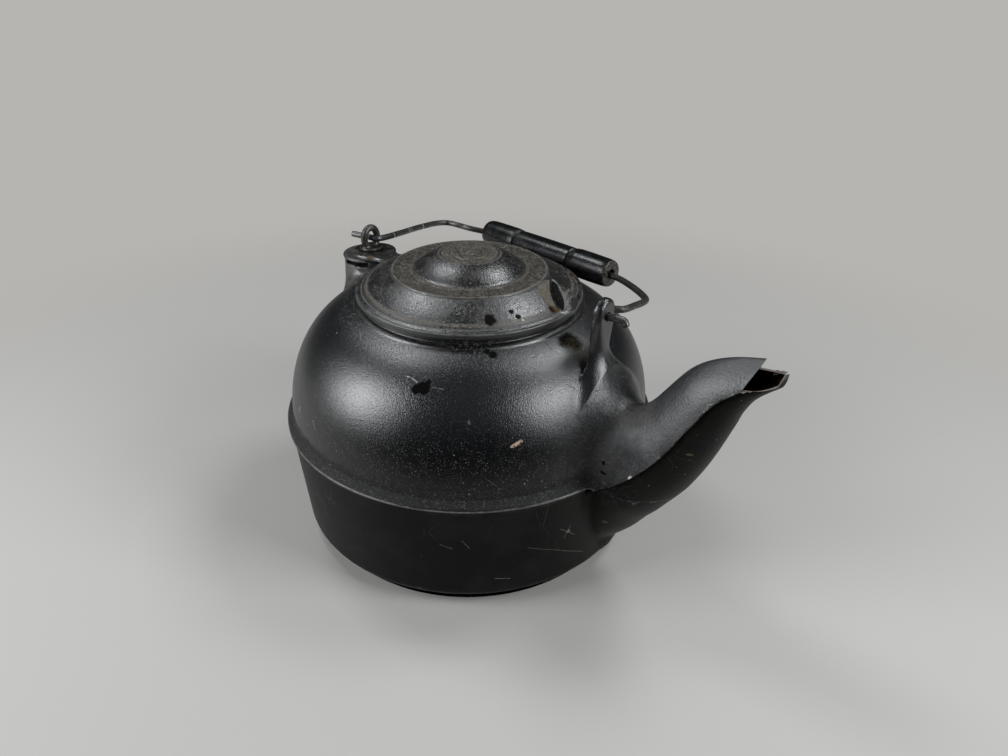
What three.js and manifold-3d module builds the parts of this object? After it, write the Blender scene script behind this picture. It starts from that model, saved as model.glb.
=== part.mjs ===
// Cast iron tea kettle: a round body with a ledge and a gooseneck spout, a lid that swings aside
// on an eye bolt, and a wire bail with a turned grip.
// Millimetres, +Z up, +X towards the spout. The origin is on the body's axis, in the plane it
// stands on.

import * as THREE from 'three';
import { mergeVertices } from 'three/addons/utils/BufferGeometryUtils.js';
import Module from 'manifold-3d';

const wasm = await Module();
wasm.setup();

// Clearances
const seat_gap = 0.3;
const running_gap = 0.35;
const cut_overrun = 24;
const merge_tolerance = 0.01;

// Facets of the round pieces
const body_sides = 56;
const lid_sides = 56;
const grip_sides = 28;
const bolt_sides = 20;
const curve_points = 9;

// Body, below the ledge
const ledge_radius = 125;
const ledge_height = 83.1;
const ledge_lip = 1.8;
const ledge_edge = 1.2;
const wall_taper = 5.7;
const wall_thickness = 3.6;
const corner_radius = 8;
const foot_inset = 9.2;
const foot_height = 8;
const foot_chamfer = 1.5;
const floor_thickness = 4;

// Body, above the ledge
const band_run = 4.2;
const band_rise = 4.6;
const globe_rise = 70.6;
const globe_low_control_share = 0.33;
const globe_high_control_share = 0.84;
const globe_round_share = 0.8;
const neck_inset = 54;
const neck_wall = 8.5;
const neck_height = 5.6;
const shoulder_step = 4.2;
const bead_step = 3.5;
const bead_height = 2.2;

// Spout
const spout_inset = 41;
const spout_drop = 30.1;
const spout_reach = 112.4;
const spout_rise = 122.2;
const spout_root_depth = 44;
const spout_root_width = 32;
const spout_seam_offset = 5;
const spout_seam_step = 0.9;
const spout_wall = 2.8;
const spout_least_bore = 0.6;
const spout_sides = 20;
const spout_sections = 24;
const mouth_corner_back = 5.6;
const mouth_corner_drop = 3.2;
const mouth_peak_height = 10;
const lip_length = 11;
const lip_height = 2;

// Keel that runs from the spout's root down to the bottom edge
const keel_drop = 45.1;
const keel_top_reach = 7.8;
const keel_foot_reach = 0.3;
const keel_top_half_width = 17.5;
const keel_foot_half_width = 2.5;

// Lid
const lid_overhang = 2.2;
const lid_edge = 2.9;
const lid_wall = 3.2;
const flange_width = 5.7;
const flange_rise = 2;
const slope_width = 17.8;
const slope_rise = 10.7;
const drum_width = 13.9;
const drum_drop = 0.5;
const dome_width = 16.5;
const dome_rise = 9.9;
const dome_control_width_share = 0.42;
const dome_control_rise_share = 0.72;
const groove_width = 1.6;
const groove_depth = 0.5;
const boss_crown = 0.5;
const button_radius = 7;
const button_height = 0.9;

// Finger catch on the lid's slope: a hood over a scooped hollow
const catch_angle = THREE.MathUtils.degToRad(11);
const catch_length = 25;
const catch_width = 18;
const catch_height = 5.2;
const catch_wall = 2.2;
const scoop_shift = 5;
const scoop_half_height = 3.7;
const scoop_depth = 1.5;

// Pivot at the back: post on the body, ear on the lid, eye bolt and its nut
const pivot_reach = 21.8;
const post_offset = 3.5;
const post_head_radius = 18;
const post_head_thickness = 2.1;
const post_rise = 1.5;
const post_neck_radius = 17.3;
const post_foot_radius = 22;
const post_foot_drop = 40;
const post_foot_shift = 9.5;
const slot_width = 18;
const slot_height = 3;
const slot_reach = 6.5;
const ear_radius = 15.5;
const ear_offset = 3;
const ear_thickness = 3;
const ear_root_half_width = 14;
const shank_radius = 2.7;
const collar_radius = 8.2;
const collar_thickness = 2;
const eye_rod_radius = 2.4;
const eye_half_width = 5.8;
const eye_half_height = 7;
const nut_half_width = 4.8;
const nut_thickness = 2.2;

// Front ear that carries the bail
const plate_setback = 20.5;
const plate_thickness = 5.4;
const plate_head_radius = 8;
const plate_head_rise = 2.6;
const plate_root_half_width = 13.5;
const plate_root_drop = 42;
const plate_waist_half_width = 11.5;
const plate_waist_drop = 28;

// Bail and grip
const wire_radius = 2.1;
const wire_sides = 8;
const wire_steps = 130;
const hook_radius = 4.2;
const bail_droop = THREE.MathUtils.degToRad(-7);
const bail_inset = 33;
const tail_length = 15;
const grip_length = 121;
const grip_radius = 9.8;
const grip_waist_radius = 9.2;
const grip_end_round = 2.6;
const grip_groove_depth = 1.7;
const grip_groove_width = 3;
const grip_bore_radius = 3.5;
const grip_section_share = 0.28;

// Heights and radii that follow from the sizes above
const wall_top_radius = ledge_radius - ledge_lip;
const wall_foot_radius = wall_top_radius - wall_taper;
const foot_radius = wall_foot_radius - foot_inset;
const keel_top_height = ledge_height - keel_drop;
const band_foot = ledge_height + ledge_edge;
const globe_radius = ledge_radius - band_run;
const globe_foot = band_foot + band_rise;
const shoulder_height = globe_foot + globe_rise;
const neck_radius = ledge_radius - neck_inset;
const opening_radius = neck_radius - neck_wall;
const shoulder_radius = neck_radius + shoulder_step;
const neck_top = shoulder_height + neck_height;
const lid_radius = neck_radius + lid_overhang;
const lid_seat = neck_top + seat_gap;
const pivot_x = -(lid_radius + pivot_reach);
const post_x = pivot_x - post_offset;
const post_top = neck_top + post_rise;
const ear_bottom = post_top + seat_gap;
const ear_top = ear_bottom + ear_thickness;
const collar_bottom = ear_top + seat_gap;
const slot_top = post_top - post_head_thickness;
const nut_top = slot_top - seat_gap;
const bail_height = collar_bottom + collar_thickness / 2 + eye_half_height;
const plate_x = ledge_radius - plate_setback;
const bail_rise = ledge_radius - bail_inset;
const lid_hole_radius = shank_radius + running_gap;
const plate_hole_radius = wire_radius + 2 * running_gap;

const spout_start = new THREE.Vector3(ledge_radius - spout_inset, 0, ledge_height - spout_drop);

// Stations of the spout: shares of its reach, its rise, its root depth, its root width and its
// seam offset. The last three carry the pouring lip past the mouth.
const spout_shares = [
  [0, 0, 1, 0.844, 1],
  [0.116, 0.098, 1, 0.859, 1],
  [0.231, 0.196, 0.955, 0.906, 1],
  [0.329, 0.278, 0.875, 0.969, 1],
  [0.436, 0.357, 0.795, 1, 1],
  [0.536, 0.431, 0.668, 0.853, 0.76],
  [0.609, 0.511, 0.575, 0.738, 0.72],
  [0.663, 0.592, 0.52, 0.666, 0.72],
  [0.707, 0.675, 0.482, 0.619, 0.72],
  [0.748, 0.755, 0.448, 0.581, 0.86],
  [0.791, 0.831, 0.411, 0.538, 0.8],
  [0.848, 0.896, 0.352, 0.475, 0.7],
  [0.917, 0.953, 0.277, 0.406, 0.64],
  [1, 1, 0.205, 0.338, 0.72],
  [1.05, 1.025, 0.17, 0.275, 0.6],
  [1.085, 1.043, 0.136, 0.194, 0.5],
  [1.116, 1.056, 0.068, 0.078, 0.2],
];

// Shape helpers

const solid = (geometry) => {
  const bare = geometry.index ? geometry.clone() : geometry;
  bare.deleteAttribute('normal');
  bare.deleteAttribute('uv');
  const merged = mergeVertices(bare, 1e-4);
  return new wasm.Manifold(new wasm.Mesh({
    numProp: 3,
    vertProperties: new Float32Array(merged.attributes.position.array),
    triVerts: new Uint32Array(merged.index.array),
  }));
};

const geometry_of = (body) => {
  const mesh = body.simplify(merge_tolerance).getMesh();
  const geometry = new THREE.BufferGeometry();
  geometry.setAttribute('position', new THREE.BufferAttribute(mesh.vertProperties, 3));
  geometry.setIndex(new THREE.BufferAttribute(mesh.triVerts, 1));
  return geometry;
};

const named_mesh = (name, geometry, color, roughness, metalness) => {
  const material = new THREE.MeshStandardMaterial({ color, roughness, metalness, flatShading: true });
  const mesh = new THREE.Mesh(geometry, material);
  mesh.name = name;
  return mesh;
};

const vector2 = (x, y) => new THREE.Vector2(x, y);

// Profiles are given as radius and height, and turned about the upright axis.
const turned = (profile, sides) => new THREE.LatheGeometry(profile, sides).rotateX(Math.PI / 2);

const upright_cylinder = (radius, bottom, top, x, sides) =>
  new THREE.CylinderGeometry(radius, radius, top - bottom, sides)
    .rotateX(Math.PI / 2)
    .translate(x, 0, (bottom + top) / 2);

const arc_points = (center_r, center_z, radius, from, to, count) =>
  Array.from({ length: count + 1 }, (_, i) => {
    const angle = from + ((to - from) * i) / count;
    return vector2(center_r + radius * Math.cos(angle), center_z + radius * Math.sin(angle));
  });

// A closed skin over rings that have the same number of points each.
const skin = (rings) => {
  const sides = rings[0].length;
  const last = (rings.length - 1) * sides;
  const indices = [];
  for (let row = 0; row < last; row += sides) {
    for (let i = 0; i < sides; i += 1) {
      const next = (i + 1) % sides;
      indices.push(row + i, row + next, row + sides + next);
      indices.push(row + i, row + sides + next, row + sides + i);
    }
  }
  for (let i = 1; i < sides - 1; i += 1) {
    indices.push(0, i + 1, i, last, last + i, last + i + 1);
  }
  const geometry = new THREE.BufferGeometry().setFromPoints(rings.flat());
  geometry.setIndex(indices);
  return geometry;
};

// One ring round a center, with its own reach to each side and above and below.
const ring = (center, side, up, half_width, above, below, sides) =>
  Array.from({ length: sides }, (_, i) => {
    const angle = (2 * Math.PI * i) / sides;
    const height = Math.sin(angle) * (Math.sin(angle) > 0 ? above : below);
    return center.clone()
      .addScaledVector(side, half_width * Math.cos(angle))
      .addScaledVector(up, height);
  });

const axis_x = new THREE.Vector3(1, 0, 0);
const axis_y = new THREE.Vector3(0, 1, 0);
const axis_z = new THREE.Vector3(0, 0, 1);

// Body

const corner_profile = () => [
  vector2(0, 0),
  vector2(foot_radius - foot_chamfer, 0),
  vector2(foot_radius, foot_chamfer),
  vector2(foot_radius, foot_height),
  ...arc_points(wall_foot_radius - corner_radius, foot_height + corner_radius, corner_radius,
    -Math.PI / 2, 0, 4),
];

const globe_curve = (radius, foot, top_radius, top) => {
  const rise = top - foot;
  return new THREE.CubicBezierCurve(
    vector2(radius, foot),
    vector2(radius, foot + rise * globe_low_control_share),
    vector2(THREE.MathUtils.lerp(top_radius, radius, globe_round_share),
      foot + rise * globe_high_control_share),
    vector2(top_radius, top),
  ).getPoints(curve_points);
};

const bead_middle = shoulder_height + bead_height / 2;
const bead_top = shoulder_height + bead_height;
const bead_radius = neck_radius + bead_step;

const outside_profile = [
  ...corner_profile(),
  vector2(wall_top_radius, ledge_height - ledge_edge),
  vector2(ledge_radius, ledge_height),
  vector2(ledge_radius, band_foot),
  ...globe_curve(globe_radius, globe_foot, shoulder_radius, shoulder_height),
  vector2(bead_radius, bead_middle),
  vector2(neck_radius + bead_step / 2, bead_top),
  vector2(neck_radius, bead_top + seat_gap),
  vector2(neck_radius, neck_top),
  vector2(0, neck_top),
];

const inside_floor = foot_height + floor_thickness;
const inside_foot_radius = wall_foot_radius - wall_thickness;
const inside_round = corner_radius - wall_thickness;
const inside_profile = [
  vector2(0, floor_thickness),
  vector2(foot_radius - floor_thickness, floor_thickness),
  vector2(foot_radius - floor_thickness + foot_chamfer, inside_floor),
  ...arc_points(inside_foot_radius - inside_round, inside_floor + inside_round, inside_round,
    -Math.PI / 2, 0, 2),
  vector2(wall_top_radius - wall_thickness, ledge_height),
  ...globe_curve(globe_radius - wall_thickness, globe_foot, shoulder_radius - wall_thickness,
    shoulder_height - wall_thickness),
  vector2(opening_radius, shoulder_height - floor_thickness / 2),
  vector2(opening_radius, neck_top + cut_overrun),
  vector2(0, neck_top + cut_overrun),
];

// The spout's rings stand square to a curve through its stations. Its seam lies below the middle
// of each section, and the half above the seam is a little wider than the half below.
const spout_points = spout_shares.map(([x, z]) =>
  spout_start.clone().add(new THREE.Vector3(x * spout_reach, 0, z * spout_rise)));
const spout_curve = new THREE.CatmullRomCurve3(spout_points, false, 'centripetal');

const station_value = (t, column) => {
  const at = t * (spout_shares.length - 1);
  const low = Math.min(Math.floor(at), spout_shares.length - 2);
  return THREE.MathUtils.lerp(spout_shares[low][column], spout_shares[low + 1][column], at - low);
};

const spout_skin = (inset, seam_step, until) => {
  const rings = Array.from({ length: spout_sections + 1 }, (_, i) => {
    const t = (until * i) / spout_sections;
    const along = spout_curve.getTangent(t);
    const up = new THREE.Vector3().crossVectors(along, axis_y);
    const depth = station_value(t, 2) * spout_root_depth;
    const seam = station_value(t, 4) * spout_seam_offset;
    const width = station_value(t, 3) * spout_root_width - inset;
    const below = Math.max(depth - seam - inset, spout_least_bore);
    const center = spout_curve.getPoint(t).addScaledVector(up, -seam);
    const points = ring(center, axis_y, up, 1, depth + seam - inset, below, spout_sides);
    return points.map((point, side) => {
      const angle = (2 * Math.PI * side) / spout_sides;
      const lower = Math.sin(angle) < 0;
      point.y = Math.cos(angle) * Math.max(width - (lower ? seam_step : 0), spout_least_bore);
      return point;
    });
  });
  return skin(rings);
};

const mouth_station = spout_shares.length - 4;
const mouth_point = spout_points[mouth_station];
const bore_share = (mouth_station + 1) / (spout_shares.length - 1);

// The mouth's edge in the plane y = 0: its corner, the peak of the hood above it and the lip.
const mouth_corner = vector2(mouth_point.x - mouth_corner_back, mouth_point.z - mouth_corner_drop);
const mouth_peak = vector2(mouth_point.x, mouth_point.z + mouth_peak_height);
const mouth_lip = vector2(mouth_point.x + lip_length, mouth_point.z + lip_height);
const beyond_peak = mouth_corner.clone().lerp(mouth_peak, 1 + cut_overrun / mouth_peak_height);
const beyond_lip = mouth_corner.clone().lerp(mouth_lip, 1 + cut_overrun / lip_length);

// A prism across the whole spout, from an outline in the plane y = 0.
const spout_prism = (outline) => {
  const depth = 2 * spout_root_width + cut_overrun;
  return solid(new THREE.ExtrudeGeometry(new THREE.Shape(outline), { depth, bevelEnabled: false, steps: 1 })
    .rotateX(Math.PI / 2)
    .translate(0, depth / 2, 0));
};

const mouth_cutter = spout_prism([
  mouth_corner,
  beyond_lip,
  vector2(beyond_lip.x, beyond_peak.y),
  beyond_peak,
]);

const keel_skin = () => {
  const inner_x = wall_foot_radius - keel_top_half_width;
  const rows = 5;
  const rings = Array.from({ length: rows + 1 }, (_, i) => {
    const t = i / rows;
    const height = THREE.MathUtils.lerp(foot_height + corner_radius / 2, keel_top_height, t);
    const reach = THREE.MathUtils.lerp(keel_foot_reach, keel_top_reach, t);
    const half_width = THREE.MathUtils.lerp(keel_foot_half_width, keel_top_half_width, t);
    const wall_here = wall_foot_radius + wall_taper * (height / ledge_height);
    const center = new THREE.Vector3(inner_x, 0, height);
    const front = wall_here + reach - inner_x;
    return ring(center, axis_x, axis_y, front, half_width, half_width, spout_sides);
  });
  return skin(rings);
};

const post_skin = () => {
  const neck_foot = slot_top - slot_height - post_head_thickness;
  const rows = 5;
  const flare = Array.from({ length: rows + 1 }, (_, i) => {
    const t = i / rows;
    const radius = THREE.MathUtils.lerp(post_foot_radius, post_neck_radius, Math.sqrt(t));
    const x = post_x + post_foot_shift * (1 - t) ** 2;
    const z = THREE.MathUtils.lerp(post_top - post_foot_drop, neck_foot, t);
    return ring(new THREE.Vector3(x, 0, z), axis_x, axis_y, radius, radius, radius, bolt_sides * 2);
  });
  const neck_end = new THREE.Vector3(post_x, 0, slot_top);
  flare.push(ring(neck_end, axis_x, axis_y, post_neck_radius, post_neck_radius, post_neck_radius,
    bolt_sides * 2));
  return skin(flare);
};

const plate_solid = () => {
  const head_z = bail_height + plate_head_rise;
  const plate_shape = new THREE.Shape();
  plate_shape.moveTo(-plate_root_half_width, bail_height - plate_root_drop);
  plate_shape.lineTo(plate_root_half_width, bail_height - plate_root_drop);
  plate_shape.lineTo(plate_waist_half_width, bail_height - plate_waist_drop);
  plate_shape.absarc(0, head_z, plate_head_radius, 0, Math.PI, false);
  plate_shape.lineTo(-plate_waist_half_width, bail_height - plate_waist_drop);
  const hole = new THREE.Path();
  hole.absarc(0, bail_height, plate_hole_radius, 0, 2 * Math.PI, true);
  plate_shape.holes.push(hole);
  const plate = new THREE.ExtrudeGeometry(plate_shape, {
    depth: plate_thickness,
    bevelEnabled: false,
    curveSegments: 7,
  });
  plate.applyMatrix4(new THREE.Matrix4().makeBasis(axis_y, axis_z, axis_x));
  return solid(plate.translate(plate_x - plate_thickness, 0, 0));
};

const slot_length = slot_reach + cut_overrun;
const slot_box = new THREE.BoxGeometry(slot_width, slot_length, slot_height)
  .translate(pivot_x, slot_reach - slot_length / 2, slot_top - slot_height / 2);

// What lies above the spout's seam and behind the mouth's edge, moved away from them by a shift.
const above_seam = (shift) => {
  const seam_points = Array.from({ length: spout_sections + 1 }, (_, i) => {
    const t = i / spout_sections;
    const up = new THREE.Vector3().crossVectors(spout_curve.getTangent(t), axis_y);
    const seam = station_value(t, 4) * spout_seam_offset;
    const point = spout_curve.getPoint(t).addScaledVector(up, shift - seam);
    return vector2(point.x, point.z);
  });
  return spout_prism([
    ...seam_points.filter(({ x }) => x < mouth_corner.x - spout_wall),
    vector2(mouth_corner.x - shift, mouth_corner.y + shift),
    vector2(beyond_peak.x - shift, beyond_peak.y),
    vector2(seam_points[0].x, beyond_peak.y),
  ]);
};

// The casting is parted at its mould line, which follows the ledge and then the spout's seam, and
// where the spout, the rear post and the front ear meet the round body.
const grown_profile = outside_profile.map(({ x, y }) =>
  vector2(x > 0 ? x + seat_gap : 0, y > ledge_height ? y + seat_gap : y));
const round_body = solid(turned(grown_profile, body_sides));
const spout_bore = solid(spout_skin(spout_wall, 0, bore_share));

const shell = solid(turned(outside_profile, body_sides))
  .subtract(solid(turned(inside_profile, body_sides)))
  .subtract(spout_bore);
const body_pan = shell.trimByPlane([0, 0, -1], seat_gap / 2 - ledge_height);
const body_globe = shell.trimByPlane([0, 0, 1], ledge_height + seat_gap / 2);

const spout = solid(spout_skin(0, spout_seam_step, 1))
  .add(solid(keel_skin()))
  .subtract(round_body)
  .subtract(spout_bore)
  .subtract(mouth_cutter);
const spout_upper = spout.intersect(above_seam(seat_gap / 2));
const spout_lower = spout.subtract(above_seam(-seat_gap / 2));

const rear_post = solid(post_skin())
  .add(solid(upright_cylinder(post_head_radius, slot_top, post_top, post_x, bolt_sides * 2)))
  .subtract(round_body)
  .subtract(solid(slot_box))
  .subtract(solid(upright_cylinder(lid_hole_radius, slot_top - slot_height - ear_thickness,
    post_top + ear_thickness, pivot_x, bolt_sides)));
const front_ear = plate_solid().subtract(round_body);

// Lid

const flange_foot = lid_seat + lid_edge;
const flange_radius = lid_radius - flange_width;
const slope_foot = flange_foot + flange_rise;
const slope_radius = flange_radius - slope_width;
const slope_top = slope_foot + slope_rise;
const drum_radius = slope_radius - drum_width;
const drum_height = slope_top - drum_drop;
const boss_edge_radius = drum_radius - dome_width;
const dome_top = drum_height + dome_rise;
const boss_top = dome_top + boss_crown;

const dome_curve = (inset) => new THREE.QuadraticBezierCurve(
  vector2(drum_radius - inset, drum_height - inset),
  vector2(drum_radius - dome_width * dome_control_width_share - inset / 2,
    drum_height + dome_rise * dome_control_rise_share - inset),
  vector2(boss_edge_radius, dome_top - inset),
).getPoints(5);

const lid_profile = [
  vector2(0, boss_top + button_height),
  vector2(button_radius - button_height, boss_top + button_height),
  vector2(button_radius, boss_top),
  vector2(boss_edge_radius - groove_width, dome_top + boss_crown / 2),
  vector2(boss_edge_radius - groove_width / 2, dome_top - groove_depth),
  ...dome_curve(0).reverse(),
  vector2(slope_radius, slope_top),
  vector2(flange_radius, slope_foot),
  vector2(lid_radius, flange_foot),
  vector2(lid_radius, lid_seat),
  vector2(flange_radius - lid_wall, lid_seat),
  vector2(flange_radius - lid_wall, slope_foot - lid_wall),
  vector2(slope_radius - lid_wall / 2, slope_top - lid_wall),
  ...dome_curve(lid_wall),
  vector2(0, dome_top - lid_wall),
].reverse();

const ear_plate = () => {
  const root_x = -flange_radius;
  const ear_x = pivot_x + ear_offset;
  const open_angle = Math.PI / 3;
  const outline = new THREE.Shape();
  outline.moveTo(root_x, -ear_root_half_width);
  outline.lineTo(root_x, ear_root_half_width);
  outline.absarc(ear_x, 0, ear_radius, open_angle, 2 * Math.PI - open_angle, false);
  return new THREE.ExtrudeGeometry(outline, {
    depth: ear_thickness,
    bevelEnabled: false,
    curveSegments: bolt_sides,
  }).translate(0, 0, ear_bottom);
};

// The catch is shaped in the plane of the lid's slope and then turned into place.
const slope_angle = Math.atan2(slope_rise, slope_width);
const catch_piece = (length, width, height, across, above) =>
  new THREE.SphereGeometry(1, 16, 10)
    .scale(length / 2, width / 2, height)
    .translate(0, across, above)
    .rotateY(slope_angle)
    .translate((flange_radius + slope_radius) / 2, 0, (slope_foot + slope_top) / 2)
    .rotateZ(catch_angle);

const catch_hood = catch_piece(catch_length, catch_width, catch_height, 0, 0);
const catch_scoop = catch_piece(catch_length - 2 * catch_wall, catch_width, scoop_half_height,
  -scoop_shift, scoop_half_height - scoop_depth);

const lid = solid(turned(lid_profile, lid_sides))
  .add(solid(ear_plate()))
  .add(solid(catch_hood)
    .subtract(solid(upright_cylinder(flange_radius - lid_wall, lid_seat - cut_overrun,
      slope_foot - lid_wall, 0, lid_sides))))
  .subtract(solid(catch_scoop))
  .subtract(solid(upright_cylinder(lid_hole_radius, lid_seat, collar_bottom, pivot_x, bolt_sides)));

// Eye bolt and its nut

const shank_bottom = nut_top - nut_thickness;
const eye_ring = new THREE.TorusGeometry(eye_half_width, eye_rod_radius, 10, 28)
  .rotateY(Math.PI / 2)
  .scale(1, 1, eye_half_height / eye_half_width)
  .translate(pivot_x, 0, bail_height);
const eye_bolt = solid(eye_ring)
  .subtract(solid(upright_cylinder(collar_radius + eye_rod_radius, shank_bottom,
    collar_bottom + collar_thickness / 2, pivot_x, bolt_sides)))
  .add(solid(upright_cylinder(collar_radius, collar_bottom, collar_bottom + collar_thickness,
    pivot_x, bolt_sides)))
  .add(solid(upright_cylinder(shank_radius, shank_bottom, collar_bottom + collar_thickness / 2,
    pivot_x, bolt_sides)));

const nut = solid(new THREE.BoxGeometry(2 * nut_half_width, 2 * nut_half_width, nut_thickness)
  .translate(pivot_x, 0, nut_top - nut_thickness / 2))
  .subtract(solid(upright_cylinder(lid_hole_radius, nut_top - nut_thickness - ear_thickness,
    nut_top + ear_thickness, pivot_x, bolt_sides)));

// Bail and grip, laid out flat in the bail's own plane: x along the kettle, y away from the axis
// that the bail swings on. The group then droops them to the side.

const span = plate_x - pivot_x;
const eye_clear = eye_rod_radius + wire_radius + running_gap;
const plate_inner_x = plate_x - plate_thickness;
const hook_x = plate_inner_x - running_gap - hook_radius;

// Shares of the span and of the bail's rise
const rear_leg_shares = [
  [0.0075, 0.293],
  [-0.0225, 0.582],
  [-0.035, 0.826],
  [-0.02, 0.913],
  [0.015, 0.935],
  [0.09, 0.94],
];
const front_leg_shares = [
  [0.882, 0.712],
  [0.965, 0.576],
  [0.993, 0.5],
  [0.9975, 0.342],
  [0.9925, 0.2],
];
const grip_start_shares = [0.1704, 1];
const grip_end_shares = [0.7744, 0.837];

const bail_point = ([x, y]) => new THREE.Vector3(pivot_x + x * span, y * bail_rise, 0);
const grip_start = bail_point(grip_start_shares);
const grip_end = bail_point(grip_end_shares);
const grip_center = grip_start.clone().lerp(grip_end, 0.5);
const grip_direction = grip_end.clone().sub(grip_start).normalize();
const wire_offset = grip_bore_radius - wire_radius - running_gap;

const grip_run = [-0.54, -0.5, -0.25, 0, 0.25, 0.5, 0.54].map((share) =>
  grip_center.clone()
    .addScaledVector(grip_direction, share * grip_length)
    .addScaledVector(axis_z, -wire_offset));

const wire_path = new THREE.CatmullRomCurve3([
  new THREE.Vector3(pivot_x - tail_length, -2 * wire_radius, 0),
  new THREE.Vector3(pivot_x - tail_length / 2, -wire_radius, 0),
  new THREE.Vector3(pivot_x - eye_rod_radius, 0, 0),
  new THREE.Vector3(pivot_x + eye_rod_radius / 2, running_gap, 0),
  new THREE.Vector3(pivot_x + eye_clear, wire_radius, 0),
  new THREE.Vector3(pivot_x + eye_clear + running_gap, eye_half_width + eye_rod_radius, 0),
  ...rear_leg_shares.map(bail_point),
  ...grip_run,
  ...front_leg_shares.map(bail_point),
  new THREE.Vector3(plate_inner_x - wire_radius / 2,
    plate_head_rise + plate_head_radius + 1.5 * wire_radius, 0),
  new THREE.Vector3(hook_x, plate_head_radius, 0),
  new THREE.Vector3(hook_x, hook_radius, 0),
  new THREE.Vector3(hook_x + hook_radius * (1 - Math.SQRT1_2), hook_radius * (1 - Math.SQRT1_2), 0),
  new THREE.Vector3(plate_inner_x - running_gap, 0, 0),
  new THREE.Vector3(plate_x - plate_thickness / 2, 0, 0),
  new THREE.Vector3(plate_x + wire_radius / 2, 0, 0),
  new THREE.Vector3(plate_x + 2 * wire_radius, wire_radius / 2, 0),
  new THREE.Vector3(plate_x + 4 * wire_radius, 2 * wire_radius, -wire_radius / 2),
  new THREE.Vector3(plate_x + 5 * wire_radius, 2 * wire_radius, -2 * wire_radius),
], false, 'centripetal');

const wire_section = new THREE.Shape(
  Array.from({ length: wire_sides }, (_, i) => {
    const angle = (2 * Math.PI * i) / wire_sides;
    return vector2(wire_radius * Math.cos(angle), wire_radius * Math.sin(angle));
  }),
);
const bail_wire = new THREE.ExtrudeGeometry(wire_section, {
  steps: wire_steps,
  bevelEnabled: false,
  extrudePath: wire_path,
});

const groove_at = grip_length * (0.5 - grip_section_share);
const half_grip_profile = (direction) => {
  const end = (direction * grip_length) / 2;
  const groove = direction * groove_at;
  const half_groove = (direction * grip_groove_width) / 2;
  return [
    vector2(grip_bore_radius, end),
    vector2(grip_radius - 1.6 * grip_end_round, end),
    vector2(grip_radius - grip_end_round / 2, end - (direction * grip_end_round) / 3),
    vector2(grip_radius - grip_end_round / 6, end - direction * grip_end_round),
    vector2(grip_radius, (end + groove) / 2),
    vector2(grip_radius, groove + half_groove * 2),
    vector2(grip_radius - grip_groove_depth / 4, groove + half_groove),
    vector2(grip_waist_radius - grip_groove_depth, groove),
    vector2(grip_waist_radius, groove - half_groove),
  ];
};

const grip = turned([
  vector2(grip_bore_radius, -grip_length / 2),
  ...half_grip_profile(-1).slice(1),
  ...half_grip_profile(1).slice(1).reverse(),
  vector2(grip_bore_radius, grip_length / 2),
  vector2(grip_bore_radius, -grip_length / 2),
], grip_sides);

const iron = '#1b1b1a';
const iron_lid = '#24231f';
const steel = '#2c2b29';
const black_wood = '#131313';

const bail_group = new THREE.Group();
bail_group.position.z = bail_height;
bail_group.rotation.x = bail_droop;
bail_group.add(named_mesh('bail_wire', bail_wire, steel, 0.55, 0.8));

const grip_mesh = named_mesh('grip', grip, black_wood, 0.35, 0);
grip_mesh.position.copy(grip_center);
grip_mesh.quaternion.setFromUnitVectors(axis_z, grip_direction);
bail_group.add(grip_mesh);

const kettle = new THREE.Group();
const iron_pieces = { body_pan, body_globe, spout_upper, spout_lower, rear_post, front_ear };
Object.entries(iron_pieces).forEach(([name, piece]) => {
  kettle.add(named_mesh(name, geometry_of(piece), iron, 0.5, 0.6));
});
kettle.add(named_mesh('lid', geometry_of(lid), iron_lid, 0.6, 0.6));
kettle.add(named_mesh('eye_bolt', geometry_of(eye_bolt), steel, 0.55, 0.8));
kettle.add(named_mesh('eye_bolt_nut', geometry_of(nut), steel, 0.6, 0.8));
kettle.add(bail_group);

export default kettle;
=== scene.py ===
# Looks of the cast iron tea kettle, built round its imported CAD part.
# Sizes are in millimetres in the CAD part's own frame, and meshes are scaled to metres when made.
import math

import bpy
import numpy as np
from mathutils import Matrix, Vector, noise


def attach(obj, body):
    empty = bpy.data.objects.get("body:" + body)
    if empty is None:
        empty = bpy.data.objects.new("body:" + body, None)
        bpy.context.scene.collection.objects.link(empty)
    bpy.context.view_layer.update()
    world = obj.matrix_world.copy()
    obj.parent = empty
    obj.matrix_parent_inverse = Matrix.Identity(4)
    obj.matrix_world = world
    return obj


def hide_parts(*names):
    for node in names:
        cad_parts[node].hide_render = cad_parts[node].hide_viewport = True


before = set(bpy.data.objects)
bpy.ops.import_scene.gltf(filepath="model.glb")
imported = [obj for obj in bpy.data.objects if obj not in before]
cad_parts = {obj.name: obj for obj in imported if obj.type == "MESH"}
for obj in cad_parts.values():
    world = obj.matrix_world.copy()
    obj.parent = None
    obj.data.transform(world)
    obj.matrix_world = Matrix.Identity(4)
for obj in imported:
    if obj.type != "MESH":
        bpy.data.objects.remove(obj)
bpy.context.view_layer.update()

MM = 0.001

# Mesh detail
BODY_SIDES = 256
INSIDE_SIDES = 128
LID_SIDES = 256
GRIP_SIDES = 96
HOLE_SIDES = 48
WIRE_SIDES, WIRE_STEPS = 18, 430
CORNER_STEPS = 5
SMOOTH_ANGLE = math.radians(38)

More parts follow.
